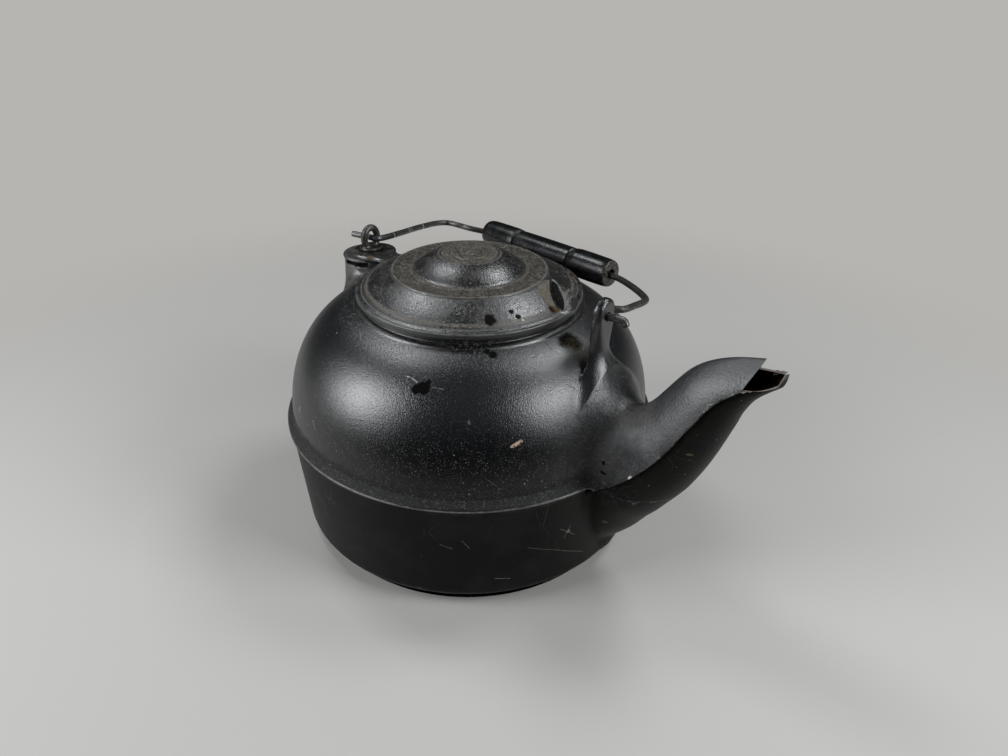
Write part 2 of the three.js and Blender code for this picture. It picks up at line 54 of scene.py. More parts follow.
# Body
LEDGE_RADIUS, LEDGE_HEIGHT, LEDGE_EDGE = 125.0, 83.1, 1.2
WALL_TOP_RADIUS, WALL_FOOT_RADIUS = 123.2, 117.5
CORNER_RADIUS = 8.0
FOOT_RADIUS, FOOT_HEIGHT, FOOT_CHAMFER = 108.6, 10.5, 0.8
WALL, FLOOR_THICKNESS = 3.6, 4.0
GLOBE_FOOT_RADIUS, GLOBE_FOOT = 120.8, 88.9
SHOULDER_RADIUS, SHOULDER_HEIGHT = 75.2, 159.5
BEAD_RADIUS, BEAD_TOP = 74.5, 161.7
NECK_RADIUS, NECK_TOP, OPENING_RADIUS = 71.0, 165.1, 62.5

# Spout
SPOUT_START = np.array([84.0, 53.0])
SPOUT_REACH, SPOUT_RISE = 112.4, 122.2
SPOUT_DEPTH, SPOUT_WIDTH, SEAM_OFFSET = 44.0, 32.0, 5.0
SEAM_STEP = 1.6
UPPER_ROUNDNESS, MOUTH_ROUNDNESS = 1.85, 1.4
SPOUT_WALL = 2.8
ROUNDNESS_FROM, ROUNDNESS_TO = 172.0, 190.0
BORE_THINS_FROM, BORE_THINS_TO = 182.0, 194.0
FLASH_HEIGHT, FLASH_WIDTH = 0.8, 1.1
MOUTH_WALL, MOUTH_TILT, BORE_END = 1.6, 0.2, 203.0
MOUTH_CORNER, MOUTH_PEAK, MOUTH_LIP = (190.7, 171.0), (196.4, 185.2), (206.6, 175.6)

# Rear post, front ear and the bail's pivot
PIVOT_X, POST_X = -95.0, -98.5
POST_TOP, POST_HEAD_RADIUS, POST_HEAD = 166.6, 18.0, 2.1
SLOT_LOW, SLOT_HIGH, SLOT_HALF_WIDTH, SLOT_REACH = 161.5, 164.5, 9.0, 6.5
BAIL_HEIGHT, BAIL_DROOP = 178.2, math.radians(-7)
PLATE_INNER, PLATE_OUTER = 99.1, 104.5
PLATE_HEAD_RADIUS, PLATE_HEAD_HEIGHT = 8.0, 180.8
BOLT_HOLE_RADIUS, PLATE_HOLE_RADIUS = 3.05, 2.8

# Lid
LID_RADIUS, LID_SEAT, RIM_TOP = 73.2, 165.4, 168.3
FLANGE_RADIUS, SLOPE_FOOT = 67.5, 170.3
SLOPE_RADIUS, SLOPE_TOP = 49.7, 181.0
DRUM_RADIUS, DRUM_HEIGHT = 35.8, 180.5
BOSS_RADIUS, DOME_TOP, BOSS_TOP = 19.3, 190.4, 190.9
BUTTON_RADIUS, BUTTON_TOP = 7.0, 191.8
LID_WALL = 3.2
EAR_X, EAR_RADIUS, EAR_LOW, EAR_HIGH = -92.0, 15.5, 166.9, 169.9

# Eye bolt
COLLAR_RADIUS, COLLAR_LOW, COLLAR_HIGH = 8.2, 170.2, 172.2
EYE_HALF_WIDTH, EYE_HALF_HEIGHT, EYE_ROD = 5.8, 7.0, 2.4
SHANK_RADIUS, SHANK_LOW = 2.7, 162.0

# Grip and wire
WIRE_RADIUS = 2.1
GRIP_LENGTH, GRIP_RADIUS, GRIP_WAIST, GRIP_BORE = 121.0, 9.8, 9.2, 3.5
GRIP_GROOVE = 0.22 * GRIP_LENGTH


# Curves

def bezier(points, count):
    """Points along a Bezier curve, from its control points."""
    points = np.array(points, float)
    t = np.linspace(0, 1, count + 1)[:, None]
    order = len(points) - 1
    return sum(math.comb(order, i) * (1 - t) ** (order - i) * t**i * p for i, p in enumerate(points))


def rounded(corners):
    """A path of points with each corner (r, z, radius) rounded; a radius of 0 keeps it sharp."""
    path = []
    places = [np.array(c[:2], float) for c in corners]
    for i, corner in enumerate(corners):
        radius = corner[2] if len(corner) > 2 else 0
        if not radius or i in (0, len(corners) - 1):
            path.append(places[i])
            continue
        back, ahead = places[i - 1] - places[i], places[i + 1] - places[i]
        back_length, ahead_length = np.linalg.norm(back), np.linalg.norm(ahead)
        back, ahead = back / back_length, ahead / ahead_length
        half = math.acos(np.clip(back @ ahead, -1, 1)) / 2
        reach = min(radius / math.tan(half), 0.48 * back_length, 0.48 * ahead_length)
        handles = [places[i] + back * reach, places[i], places[i] + ahead * reach]
        path.extend(bezier(handles, CORNER_STEPS))
    return np.array(path)


def spaced(path, longest):
    """The same path with extra points, so that no step is longer than longest."""
    out = [path[0]]
    for a, b in zip(path[:-1], path[1:]):
        length = np.linalg.norm(b - a)
        if length < 1e-6:
            continue
        count = max(1, math.ceil(length / longest))
        out.extend(a + (b - a) * i / count for i in range(1, count + 1))
    return np.array(out)


def spline(points, count):
    """Points along a centripetal Catmull-Rom curve."""
    points = np.array(points, float)
    points = np.vstack([2 * points[0] - points[1], points, 2 * points[-1] - points[-2]])
    out = []
    spans = len(points) - 3
    for value in np.linspace(0, spans, count + 1):
        i = min(int(value), spans - 1)
        p = points[i:i + 4]
        steps = np.sqrt(np.linalg.norm(np.diff(p, axis=0), axis=1))
        t = np.concatenate([[0], np.cumsum(steps)])
        at = t[1] + (value - i) * (t[2] - t[1])
        a = [(t[k + 1] - at) / steps[k] * p[k] + (at - t[k]) / steps[k] * p[k + 1] for k in range(3)]
        b = [((t[k + 2] - at) * a[k] + (at - t[k]) * a[k + 1]) / (t[k + 2] - t[k]) for k in range(2)]
        out.append((t[2] - at) / steps[1] * b[0] + (at - t[1]) / steps[1] * b[1])
    return np.array(out)


# Meshes

def enclosed(points, faces):
    """Six times the volume inside closed faces, negative where they face inwards."""
    points = np.asarray(points, float)
    sides = np.array([(face[0], face[i], face[i + 1]) for face in faces for i in range(1, len(face) - 1)])
    a, b, c = points[sides[:, 0]], points[sides[:, 1]], points[sides[:, 2]]
    return (a * np.cross(b, c)).sum()


def mesh_object(name, points, faces):
    """An object facing outwards, from points in millimetres and faces of point numbers."""
    if enclosed(points, faces) < 0:
        faces = [face[::-1] for face in faces]
    mesh = bpy.data.meshes.new(name)
    mesh.from_pydata((np.asarray(points) * MM).tolist(), [], [list(face) for face in faces])
    obj = bpy.data.objects.new(name, mesh)
    bpy.context.scene.collection.objects.link(obj)
    return obj


def grid_faces(rows, sides):
    """Quads between the rings of a closed skin."""
    row, side = np.meshgrid(np.arange(rows - 1), np.arange(sides), indexing="ij")
    low, high = row * sides, (row + 1) * sides
    after = (side + 1) % sides
    return np.stack([low + side, low + after, high + after, high + side], -1).reshape(-1, 4).tolist()


def capped(name, rings):
    """A closed skin over rings, with a fan at each end."""
    rings = np.asarray(rings, float)
    rows, sides = rings.shape[:2]
    points = np.vstack([rings.reshape(-1, 3), rings[0].mean(0), rings[-1].mean(0)])
    start, end, last = rows * sides, rows * sides + 1, (rows - 1) * sides
    faces = grid_faces(rows, sides)
    for i in range(sides):
        after = (i + 1) % sides
        faces.append([start, after, i])
        faces.append([end, last + i, last + after])
    return mesh_object(name, points, faces)


def turned(name, profile, sides):
    """A closed solid turned about the upright axis, flat where its profile leaves and meets it."""
    angles = 2 * math.pi * np.arange(sides) / sides
    rings = np.stack([
        np.outer(profile[1:-1, 0], np.cos(angles)),
        np.outer(profile[1:-1, 0], np.sin(angles)),
        np.repeat(profile[1:-1, 1:], sides, axis=1),
    ], -1)
    return capped(name, rings)


def surface_net(name, distance, low, high, step):
    """A closed mesh where a distance function is zero, inside a box."""
    axes = [np.arange(a, b + step, step) for a, b in zip(low, high)]
    grid = np.stack(np.meshgrid(*axes, indexing="ij"), -1)
    values = distance(grid.reshape(-1, 3)).reshape(grid.shape[:3])
    for axis in range(3):
        for side in (0, -1):
            wall = [slice(None)] * 3
            wall[axis] = side
            values[tuple(wall)] = np.maximum(values[tuple(wall)], 0.4 * step)
    cells = tuple(n - 1 for n in values.shape)
    homes, places, quads, flips = [], [], [], []
    for axis in range(3):
        near, far = [slice(None)] * 3, [slice(None)] * 3
        near[axis], far[axis] = slice(None, -1), slice(1, None)
        v0, v1 = values[tuple(near)], values[tuple(far)]
        edge = np.argwhere((v0 < 0) != (v1 < 0))
        at = tuple(edge.T)
        place = edge.astype(float)
        place[:, axis] += v0[at] / (v0[at] - v1[at])
        around = []
        for shift in ((0, 0), (-1, 0), (-1, -1), (0, -1)):
            cell = edge.copy()
            cell[:, (axis + 1) % 3] += shift[0]
            cell[:, (axis + 2) % 3] += shift[1]
            around.append(np.ravel_multi_index(cell.T, cells))
            places.append(place)
        homes.extend(around)
        quads.append(np.stack(around, -1))
        flips.append(v0[at] >= 0)
    used, owner = np.unique(np.concatenate(homes), return_inverse=True)
    places = np.concatenate(places)
    count = np.bincount(owner)
    points = np.stack([np.bincount(owner, places[:, k]) / count for k in range(3)], -1)
    points = np.array(low) + step * points
    quads, flips = np.concatenate(quads), np.concatenate(flips)
    quads[flips] = quads[flips][:, ::-1]
    faces = np.searchsorted(used, quads)
    return mesh_object(name, onto_surface(points, distance, step), faces.tolist())


def onto_surface(points, distance, step):
    """Moves points onto the surface where distance is zero, by under half a step each time."""
    reach = 0.2 * step
    for _ in range(3):
        value = distance(points)
        slope = np.stack([
            (distance(points + offset) - distance(points - offset)) / (2 * reach)
            for offset in np.eye(3) * reach
        ], -1)
        size = np.maximum((slope**2).sum(1), 0.2)
        move = np.clip(value / size, -0.45 * step, 0.45 * step)
        points = points - move[:, None] * slope
    return points


def combined(base, *steps):
    """Joins and cuts base with other closed meshes, in order, and removes them."""
    for operation, others in steps:
        for other in others:
            modifier = base.modifiers.new(other.name, "BOOLEAN")
            modifier.operation = operation
            modifier.solver = "MANIFOLD"
            modifier.object = other
    depsgraph = bpy.context.evaluated_depsgraph_get()
    mesh = bpy.data.meshes.new_from_object(base.evaluated_get(depsgraph))
    base.modifiers.clear()
    old, base.data = base.data, mesh
    bpy.data.meshes.remove(old)
    mesh.name = base.name
    for _, others in steps:
        for other in others:
            other_mesh = other.data
            bpy.data.objects.remove(other)
            bpy.data.meshes.remove(other_mesh)
    return base


def finished(obj, material, body, slot, *nodes):
    """Smooth shading, a material, and the frame's bookkeeping for a piece that is in place."""
    obj.data.shade_smooth()
    obj.data.set_sharp_from_angle(angle=SMOOTH_ANGLE)
    obj.data.materials.clear()
    obj.data.materials.append(material)
    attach(obj, body)
    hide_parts(*nodes)
    return obj


# Distance functions, negative inside

class Chart:
    """A function of two coordinates, worked out on a grid and read between its points."""

    def __init__(self, low, high, step, function):
        self.low, self.step = np.array(low, float), step
        a = np.arange(low[0], high[0] + step, step)
        b = np.arange(low[1], high[1] + step, step)
        grid = np.stack(np.meshgrid(a, b, indexing="ij"), -1)
        self.values = function(grid.reshape(-1, 2)).reshape(len(a), len(b), -1)

    def __call__(self, a, b):
        u = np.clip((a - self.low[0]) / self.step, 0, self.values.shape[0] - 1.001)
        v = np.clip((b - self.low[1]) / self.step, 0, self.values.shape[1] - 1.001)
        i, j = u.astype(int), v.astype(int)
        s, t = (u - i)[:, None], (v - j)[:, None]
        n = self.values
        low = n[i, j] * (1 - s) + n[i + 1, j] * s
        high = n[i, j + 1] * (1 - s) + n[i + 1, j + 1] * s
        found = low * (1 - t) + high * t
        return found[:, 0] if found.shape[1] == 1 else found.T


def polygon_distance(points, outline):
    """Distance to a closed outline, negative inside it."""
    nearest = np.full(len(points), 1e9)
    inside = np.zeros(len(points), bool)
    for a, b in zip(outline, np.roll(outline, -1, axis=0)):
        along = b - a
        length = along @ along
        if length < 1e-12:
            continue
        t = np.clip(((points - a) @ along) / length, 0, 1)
        gap = points - a - t[:, None] * along
        nearest = np.minimum(nearest, (gap**2).sum(1))
        crosses = (a[1] > points[:, 1]) != (b[1] > points[:, 1])
        if crosses.any():
            edge_x = a[0] + (points[:, 1] - a[1]) * along[0] / (along[1] or 1e-12)
            inside ^= crosses & (points[:, 0] < edge_x)
    return np.where(inside, -1, 1) * np.sqrt(nearest)


def smooth_min(a, b, width):
    """The lower of two distances, with the corner between them rounded over a width."""
    near = np.maximum(width - np.abs(a - b), 0) / width
    return np.minimum(a, b) - near**2 * width / 4


PROUD, SINK, FADE = 0.02, 0.06, 12.0


def fillet(a, b, width):
    """Two solids joined by a fillet, a hair proud of them near it and a hair below them beyond it."""
    beyond = np.clip((np.abs(a - b) - width) / FADE, 0, 1)
    return smooth_min(a, b, width) - PROUD + (PROUD + SINK) * beyond


def rounded_slab(flat, thick, radius):
    """The distance to a slab from the distance across it and the one through it, edges rounded."""
    a, b = flat + radius, thick + radius
    return np.minimum(np.maximum(a, b), 0) + np.hypot(np.maximum(a, 0), np.maximum(b, 0)) - radius


# The casting's profiles

def globe(radius, foot, top_radius, top, count):
    """The globe's profile, from its foot on the ledge up to its shoulder."""
    rise = top - foot
    return bezier([
        (radius, foot),
        (radius, foot + 0.33 * rise),
        (top_radius + 0.8 * (radius - top_radius), foot + 0.84 * rise),
        (top_radius, top),
    ], count)


outside_corners = [
    (0, 0),
    (FOOT_RADIUS, 0, FOOT_CHAMFER),
    (FOOT_RADIUS, FOOT_HEIGHT, 0.8),
    (WALL_FOOT_RADIUS, FOOT_HEIGHT, CORNER_RADIUS),
    (WALL_TOP_RADIUS, LEDGE_HEIGHT - LEDGE_EDGE, 1.6),
    (LEDGE_RADIUS, LEDGE_HEIGHT, 0.35),
    (LEDGE_RADIUS, LEDGE_HEIGHT + LEDGE_EDGE, 0.5),
    (GLOBE_FOOT_RADIUS, GLOBE_FOOT, 2.5),
    *[tuple(p) for p in globe(GLOBE_FOOT_RADIUS, GLOBE_FOOT, SHOULDER_RADIUS, SHOULDER_HEIGHT, 48)[1:]],
    (BEAD_RADIUS, (SHOULDER_HEIGHT + BEAD_TOP) / 2, 0.5),
    (NECK_RADIUS, BEAD_TOP, 0.6),
    (NECK_RADIUS, NECK_TOP, 0.5),
    (0, NECK_TOP),
]
outside_profile = rounded(outside_corners)

inside_profile = rounded([
    (0, FLOOR_THICKNESS),
    (FOOT_RADIUS - FLOOR_THICKNESS, FLOOR_THICKNESS, 1.5),
    (FOOT_RADIUS - FLOOR_THICKNESS + FOOT_CHAMFER, FOOT_HEIGHT + FLOOR_THICKNESS, 1.5),
    (WALL_FOOT_RADIUS - WALL, FOOT_HEIGHT + FLOOR_THICKNESS, CORNER_RADIUS - WALL),
    (WALL_TOP_RADIUS - WALL, LEDGE_HEIGHT, 3),
    *[tuple(p) for p in globe(GLOBE_FOOT_RADIUS - WALL, GLOBE_FOOT, SHOULDER_RADIUS - WALL,
                              SHOULDER_HEIGHT - WALL, 20)],
    (OPENING_RADIUS, SHOULDER_HEIGHT - 2, 1.5),
    (OPENING_RADIUS, NECK_TOP + 3),
    (0, NECK_TOP + 3),
])

round_body = Chart((0, -10), (190, 200), 0.6, lambda p: polygon_distance(p, outside_profile))


def body_distance(p):
    """Distance to the round body's outer skin."""
    return round_body(np.hypot(p[:, 0], p[:, 1]), p[:, 2])


# The spout: shares of its reach, rise, root depth, root width and seam offset at each station
SPOUT_SHARES = np.array([
    (0, 0, 1, 0.844, 1),
    (0.116, 0.098, 1, 0.859, 1),
    (0.231, 0.196, 0.955, 0.906, 1),
    (0.329, 0.278, 0.875, 0.969, 1),
    (0.436, 0.357, 0.795, 1, 1),
    (0.536, 0.431, 0.668, 0.853, 0.76),
    (0.609, 0.511, 0.575, 0.738, 0.72),
    (0.663, 0.592, 0.52, 0.666, 0.72),
    (0.707, 0.675, 0.482, 0.619, 0.72),
    (0.748, 0.755, 0.448, 0.581, 0.86),
    (0.791, 0.831, 0.411, 0.538, 0.8),
    (0.848, 0.896, 0.352, 0.475, 0.7),
    (0.917, 0.953, 0.277, 0.406, 0.64),
    (1, 1, 0.205, 0.338, 0.72),
    (1.05, 1.025, 0.17, 0.275, 0.6),
    (1.078, 1.040, 0.142, 0.235, 0.5),
    (1.10, 1.050, 0.105, 0.165, 0.3),
])
SPOUT_SCALE = np.array([SPOUT_REACH, SPOUT_RISE, SPOUT_DEPTH, SPOUT_WIDTH, SEAM_OFFSET])


class Spout:
    """The spout's stations, close together: middle, up direction, depth, width and seam offset."""

    def __init__(self, count=220):
        rows = spline(SPOUT_SHARES * SPOUT_SCALE, count)
        kernel = np.exp(-0.5 * (np.arange(-9, 10) / 4) ** 2)
        kernel /= kernel.sum()
        padded = np.vstack([2 * rows[0] - rows[9:0:-1], rows, 2 * rows[-1] - rows[-2:-11:-1]])
        rows = np.stack([np.convolve(column, kernel, "valid") for column in padded.T], -1)
        self.middle = SPOUT_START + rows[:, :2]
        self.depth, self.width, self.seam = rows[:, 2], rows[:, 3], rows[:, 4]
        along = np.gradient(self.middle, axis=0)
        along /= np.linalg.norm(along, axis=1)[:, None]
        self.up = np.stack([-along[:, 1], along[:, 0]], -1)
        self.count = len(rows)
        self.roundness = np.interp(self.middle[:, 0], (ROUNDNESS_FROM, ROUNDNESS_TO),
                                   (UPPER_ROUNDNESS, MOUTH_ROUNDNESS))

    def nearest(self, points):
        """The station number nearest each point in the plane, and the height above the middle."""
        best = np.full(len(points), 1e9)
        found = np.zeros((len(points), 2))
        for i, (a, b) in enumerate(zip(self.middle[:-1], self.middle[1:])):
            along = b - a
            t = ((points - a) @ along) / (along @ along)
            t = np.clip(t, 0 if i else -9, 1 if i < self.count - 2 else 9)
            gap = points - a - t[:, None] * along
            size = (gap**2).sum(1)
            closer = size < best
            best[closer] = size[closer]
            side = gap[closer] @ self.up[i]
            found[closer] = np.stack([i + t[closer], side], -1)
        return found


spout = Spout()
spout_chart = Chart((60, 0), (225, 200), 0.6, spout.nearest)


def along_spout(station, values):
    """The spout's values read at station numbers, whole or not."""
    return np.interp(station, np.arange(spout.count), values)


def spout_distance(p):
    """Distance to the spout's outer skin."""
    station, height = spout_chart(p[:, 0], p[:, 2])
    seam = along_spout(station, spout.seam)
    above = height + seam
    upper = above > 0
    width = np.maximum(along_spout(station, spout.width) - np.where(upper, 0, SEAM_STEP), 0.5)
    depth = np.maximum(along_spout(station, spout.depth) + np.where(upper, seam, -seam), 0.5)
    power = np.where(upper, along_spout(station, spout.roundness), 2.0)
    across, rise = np.abs(p[:, 1]) / width, np.abs(above) / depth
    ratio = np.maximum(across**power + rise**power, 1e-9) ** (1 / power)
    slope = np.hypot((across / ratio) ** (power - 1) / width, (rise / ratio) ** (power - 1) / depth)
    return (ratio - 1) / np.maximum(slope, 1e-3)


def seam_height(p):
    """Height above the spout's seam."""
    station, height = spout_chart(p[:, 0], p[:, 2])
    return height + along_spout(station, spout.seam)


def spout_point(station, side, above):
    """A point of a station from its sideways place and its height above the seam."""
    middle, up, seam = spout.middle[station], spout.up[station], spout.seam[station]
    x, z = middle[0] + up[0] * (above - seam), middle[1] + up[1] * (above - seam)
    return np.stack([x + 0 * side, side, z + 0 * side], -1)


def flattened(values, roundness):
    """Bends an arc's sine or cosine into the flatter sides of the spout's upper half."""
    return np.sign(values) * np.abs(values) ** (2 / roundness)


def spout_casting():
    """The spout's outer skin, with the rough flash along both seams."""
    rings = []
    upper_arc = np.linspace(0, math.pi, 40)[1:-1]
    lower_arc = np.linspace(math.pi, 2 * math.pi, 34)[1:-1]
    for i in range(spout.count):
        width, depth, seam = spout.width[i], spout.depth[i], spout.seam[i]
        flash = []
        for side in (1, -1):
            ragged = noise.fractal(Vector((i * 0.32, side * 9.0, 4.0)), 0.7, 2.1, 4)
            wander = noise.fractal(Vector((i * 0.09, side * 5.0, 8.0)), 0.8, 2.2, 4)
            flash.append((FLASH_WIDTH * max(0.1, 0.7 + 1.4 * ragged), 1.3 * wander))
        (right, right_up), (left, left_up) = flash
        low_width = max(width - SEAM_STEP, 0.3)
        low_depth = max(depth - seam, 0.3)
        side = np.concatenate([
            [width + right, width + right, width],
            width * flattened(np.cos(upper_arc), spout.roundness[i]),
            [-width, -width - left, -width - left, -low_width],
            low_width * np.cos(lower_arc),
            [low_width],
        ])
        above = np.concatenate([
            [right_up - FLASH_HEIGHT / 2, right_up + FLASH_HEIGHT / 2, right_up + FLASH_HEIGHT],
            (depth + seam) * flattened(np.sin(upper_arc), spout.roundness[i]),
            [left_up + FLASH_HEIGHT, left_up + FLASH_HEIGHT / 2, left_up - FLASH_HEIGHT / 2,
             left_up - FLASH_HEIGHT / 2],
            low_depth * np.sin(lower_arc) - FLASH_HEIGHT / 2,
            [right_up - FLASH_HEIGHT / 2],
        ])
        rings.append(spout_point(i, side, above)[::-1])
    return capped("spout_skin", rings)


def spout_bore():
    """The hollow of the spout, past the mouth."""
    rings = []
    arc = np.linspace(0, 2 * math.pi, 40, endpoint=False)
    for i in range(0, spout.count, 3):
        if spout.middle[i, 0] > BORE_END:
            break
        wall = np.interp(spout.middle[i, 0], (BORE_THINS_FROM, BORE_THINS_TO), (SPOUT_WALL, MOUTH_WALL))
        width = max(spout.width[i] - wall, 0.6)
        high = max(spout.depth[i] + spout.seam[i] - wall, 0.6)
        low = max(spout.depth[i] - spout.seam[i] - wall, 0.4)
        upper = np.sin(arc) > 1e-6
        side = width * np.where(upper, flattened(np.cos(arc), spout.roundness[i]), np.cos(arc))
        above = np.where(upper, high * flattened(np.sin(arc), spout.roundness[i]), low * np.sin(arc))
        rings.append(spout_point(i, side, above)[::-1])
    return capped("spout_bore", rings)


MOUTH_RIM = [tuple(p) for p in bezier([MOUTH_CORNER, (198.0, 171.8), (204.2, 173.0), MOUTH_LIP], 10)]
LIP_FOOT = (207.2, 168.0)
CUT_HALF_WIDTH, CUT_END, PAST_PEAK = 30.0, 235.0, 2.6


def mouth_cut():
    """What is taken off the spout's end: above the trough's rim and in front of the hood."""
    corner, peak = np.array(MOUTH_CORNER), np.array(MOUTH_PEAK)
    beyond_peak = corner + (peak - corner) * PAST_PEAK
    outline = [*MOUTH_RIM, LIP_FOOT, (CUT_END, LIP_FOOT[1]), (CUT_END, beyond_peak[1]), beyond_peak]
    return capped("mouth_cut", [[(x, y, z + MOUTH_TILT * y) for x, z in outline]
                                for y in (CUT_HALF_WIDTH, -CUT_HALF_WIDTH)])


# Fillets and small castings, as surface nets

PLATE_OUTLINE = rounded([
    (-19.0, 118.2), (19.0, 118.2), (13.0, 136.2, 20), (11.2, 150.2, 30),
    *[(PLATE_HEAD_RADIUS * math.cos(a), PLATE_HEAD_HEIGHT + PLATE_HEAD_RADIUS * math.sin(a))
      for a in np.linspace(0, math.pi, 24)],
    (-11.2, 150.2, 30), (-13.0, 136.2, 20), (-19.0, 118.2),
])
plate_chart = Chart((-66, 76), (66, 195), 0.5, lambda p: polygon_distance(p, PLATE_OUTLINE))
EAR_BLEND, EAR_FLANK, EAR_DEEP, EAR_TURN, EAR_EDGE = 24.0, 8.0, 10.0, 8, 1.6
EAR_HEIGHTS, EAR_DRAFTS = (164.0, 176.0), (0.5, 0.2)
EDGE_HEIGHTS, EDGE_WIDTHS = (158.0, 176.0), (10.0, 2.5)
VALLEY_HEIGHTS, VALLEY_WIDTHS = (84.0, 100.0, 118.0, 134.0), (7.0, 10.0, 17.0, 26.0)


def upper_fillet():
    """The soft valley between the globe and the spout's root, with the bail's front ear above it."""
    def distance(p):
        above_parting = np.minimum(seam_height(p) - 0.1, p[:, 2] - LEDGE_HEIGHT - 0.4)
        body, root = body_distance(p), spout_distance(p)
        width = np.interp(p[:, 2], VALLEY_HEIGHTS, VALLEY_WIDTHS)
        base = smooth_min(body, root, width)
        beyond = np.clip((np.abs(body - root) - width) / FADE, 0, 1)
        out = p[:, 0] - PLATE_INNER
        near_side = np.clip(0.5 - p[:, 1] / EAR_TURN, 0, 1)
        draft = np.interp(p[:, 2], EAR_HEIGHTS, EAR_DRAFTS) * near_side
        sides = plate_chart(p[:, 1], p[:, 2]) + draft * np.maximum(out, 0)
        plate = -smooth_min(PLATE_OUTER - p[:, 0], -sides, np.interp(p[:, 2], EDGE_HEIGHTS, EDGE_WIDTHS))
        width = np.interp(out, (0.0, EAR_DEEP), (EAR_FLANK, EAR_BLEND))
        joined = smooth_min(base, plate, width) - PROUD
        outside = np.clip((plate - base - width) / FADE, 0, 1)
        joined += (PROUD + SINK) * np.minimum(beyond, outside)
        ear = -smooth_min(-joined, out, EAR_EDGE)
        base = base - PROUD + (PROUD + SINK) * beyond
        return np.maximum(np.minimum(base, ear), -above_parting)
    return surface_net("upper_fillet", distance, (84, -62, 80), (172, 62, 191), 1.1)


HEEL_FOOT, HEEL_FULL, HEEL_TOP = 11.0, 36.5, 38.0
HEEL_TIP_REACH, HEEL_REACH = 0.3, 8.0
HEEL_TIP_HALF_WIDTH, HEEL_HALF_WIDTH, HEEL_SWELL, HEEL_POWER = 1.5, 17.0, 0.8, 1.7


def heel_distance(p):
    """The keel under the spout, which ends in a point at the bottom corner of the wall."""
    height = p[:, 2]
    share = np.clip((height - HEEL_FOOT) / (HEEL_FULL - HEEL_FOOT), 0, 1.3)
    wall = WALL_FOOT_RADIUS + (WALL_TOP_RADIUS - WALL_FOOT_RADIUS) * (height / LEDGE_HEIGHT)
    below_corner = np.clip(FOOT_HEIGHT + CORNER_RADIUS - height, 0, CORNER_RADIUS)
    wall = wall - CORNER_RADIUS + np.sqrt(CORNER_RADIUS**2 - below_corner**2)
    reach = HEEL_TIP_REACH + HEEL_REACH * share
    half = HEEL_TIP_HALF_WIDTH + HEEL_HALF_WIDTH * share**HEEL_SWELL
    middle = wall - half
    front = (p[:, 0] - middle) / (reach + half)
    side = p[:, 1] / half
    ratio = (np.abs(front) ** HEEL_POWER + np.abs(side) ** HEEL_POWER) ** (1 / HEEL_POWER)
    body = (ratio - 1) * half * 0.8
    return np.maximum.reduce([body, height - HEEL_TOP, HEEL_FOOT - height])


def lower_fillet():
    """The tight crease between the wall and the spout's lower half, with the heel below it."""
    def distance(p):
        below_parting = np.minimum(-seam_height(p) - 0.1, LEDGE_HEIGHT - 0.3 - p[:, 2])
        root = smooth_min(spout_distance(p), heel_distance(p), 2.0)
        joined = fillet(body_distance(p), root, 2.6)
        return np.maximum(joined, -below_parting)
    return surface_net("lower_fillet", distance, (96, -42, 4), (150, 42, 86), 1.3)


def rear_post():
    """The post that carries the pivot: a flared neck, a round head and the slot under it."""
    heights = np.array([120.0, 134.0, 141.0, 148.0, 158.0, 165.0])
    radii = np.array([25.0, 21.5, 20.0, 18.5, 17.3, 17.3])
    centres = np.array([POST_X + 11.0, POST_X + 5.0, POST_X + 2.5, POST_X + 1.0, POST_X, POST_X])

    def distance(p):
        radius = np.interp(p[:, 2], heights, radii)
        centre = np.interp(p[:, 2], heights, centres)
        neck = np.maximum(np.hypot(p[:, 0] - centre, p[:, 1]) - radius, p[:, 2] - SLOT_HIGH - 0.5)
        post = fillet(body_distance(p), neck, 11.0)
        head_middle = POST_TOP - POST_HEAD / 2
        head = rounded_slab(np.hypot(p[:, 0] - POST_X, p[:, 1]) - POST_HEAD_RADIUS,
                            np.abs(p[:, 2] - head_middle) - POST_HEAD / 2, 0.9)
        slot = np.maximum.reduce([
            np.abs(p[:, 0] - PIVOT_X) - SLOT_HALF_WIDTH,
            np.abs(p[:, 2] - (SLOT_LOW + SLOT_HIGH) / 2) - (SLOT_HIGH - SLOT_LOW) / 2,
            p[:, 1] - SLOT_REACH,
        ])
        return np.maximum(smooth_min(post, head, 1.0), -slot)
    return surface_net("rear_post", distance, (-126, -36, 108), (-74, 36, 168.4), 1.1)


def cylinder(name, radius, start, end):
    """A closed cylinder between two points along one of the axes."""
    start, end = np.array(start, float), np.array(end, float)
    along = (end - start) / np.linalg.norm(end - start)
    side = np.array([0, 1, 0]) if abs(along[1]) < 0.5 else np.array([0, 0, 1])
    other = np.cross(along, side)
    arc = np.linspace(0, 2 * math.pi, HOLE_SIDES, endpoint=False)
    ring = radius * (np.outer(np.cos(arc), side) + np.outer(np.sin(arc), other))
    return capped(name, [start + ring, end + ring])


def kettle_casting():
    """The body with its spout, post and ear, hollow and open at the neck and the mouth."""
    return combined(
        turned("kettle_casting", spaced(outside_profile, 3.4), BODY_SIDES),
        ("UNION", [spout_casting(), upper_fillet(), lower_fillet(), rear_post()]),
        ("DIFFERENCE", [
            turned("inside", spaced(inside_profile, 8), INSIDE_SIDES),
            spout_bore(),
            mouth_cut(),
            cylinder("bolt_hole", BOLT_HOLE_RADIUS, (PIVOT_X, 0, 156), (PIVOT_X, 0, 170)),
            cylinder("plate_hole", PLATE_HOLE_RADIUS, (90, 0, BAIL_HEIGHT), (112, 0, BAIL_HEIGHT)),
        ]),
    )


# Lid

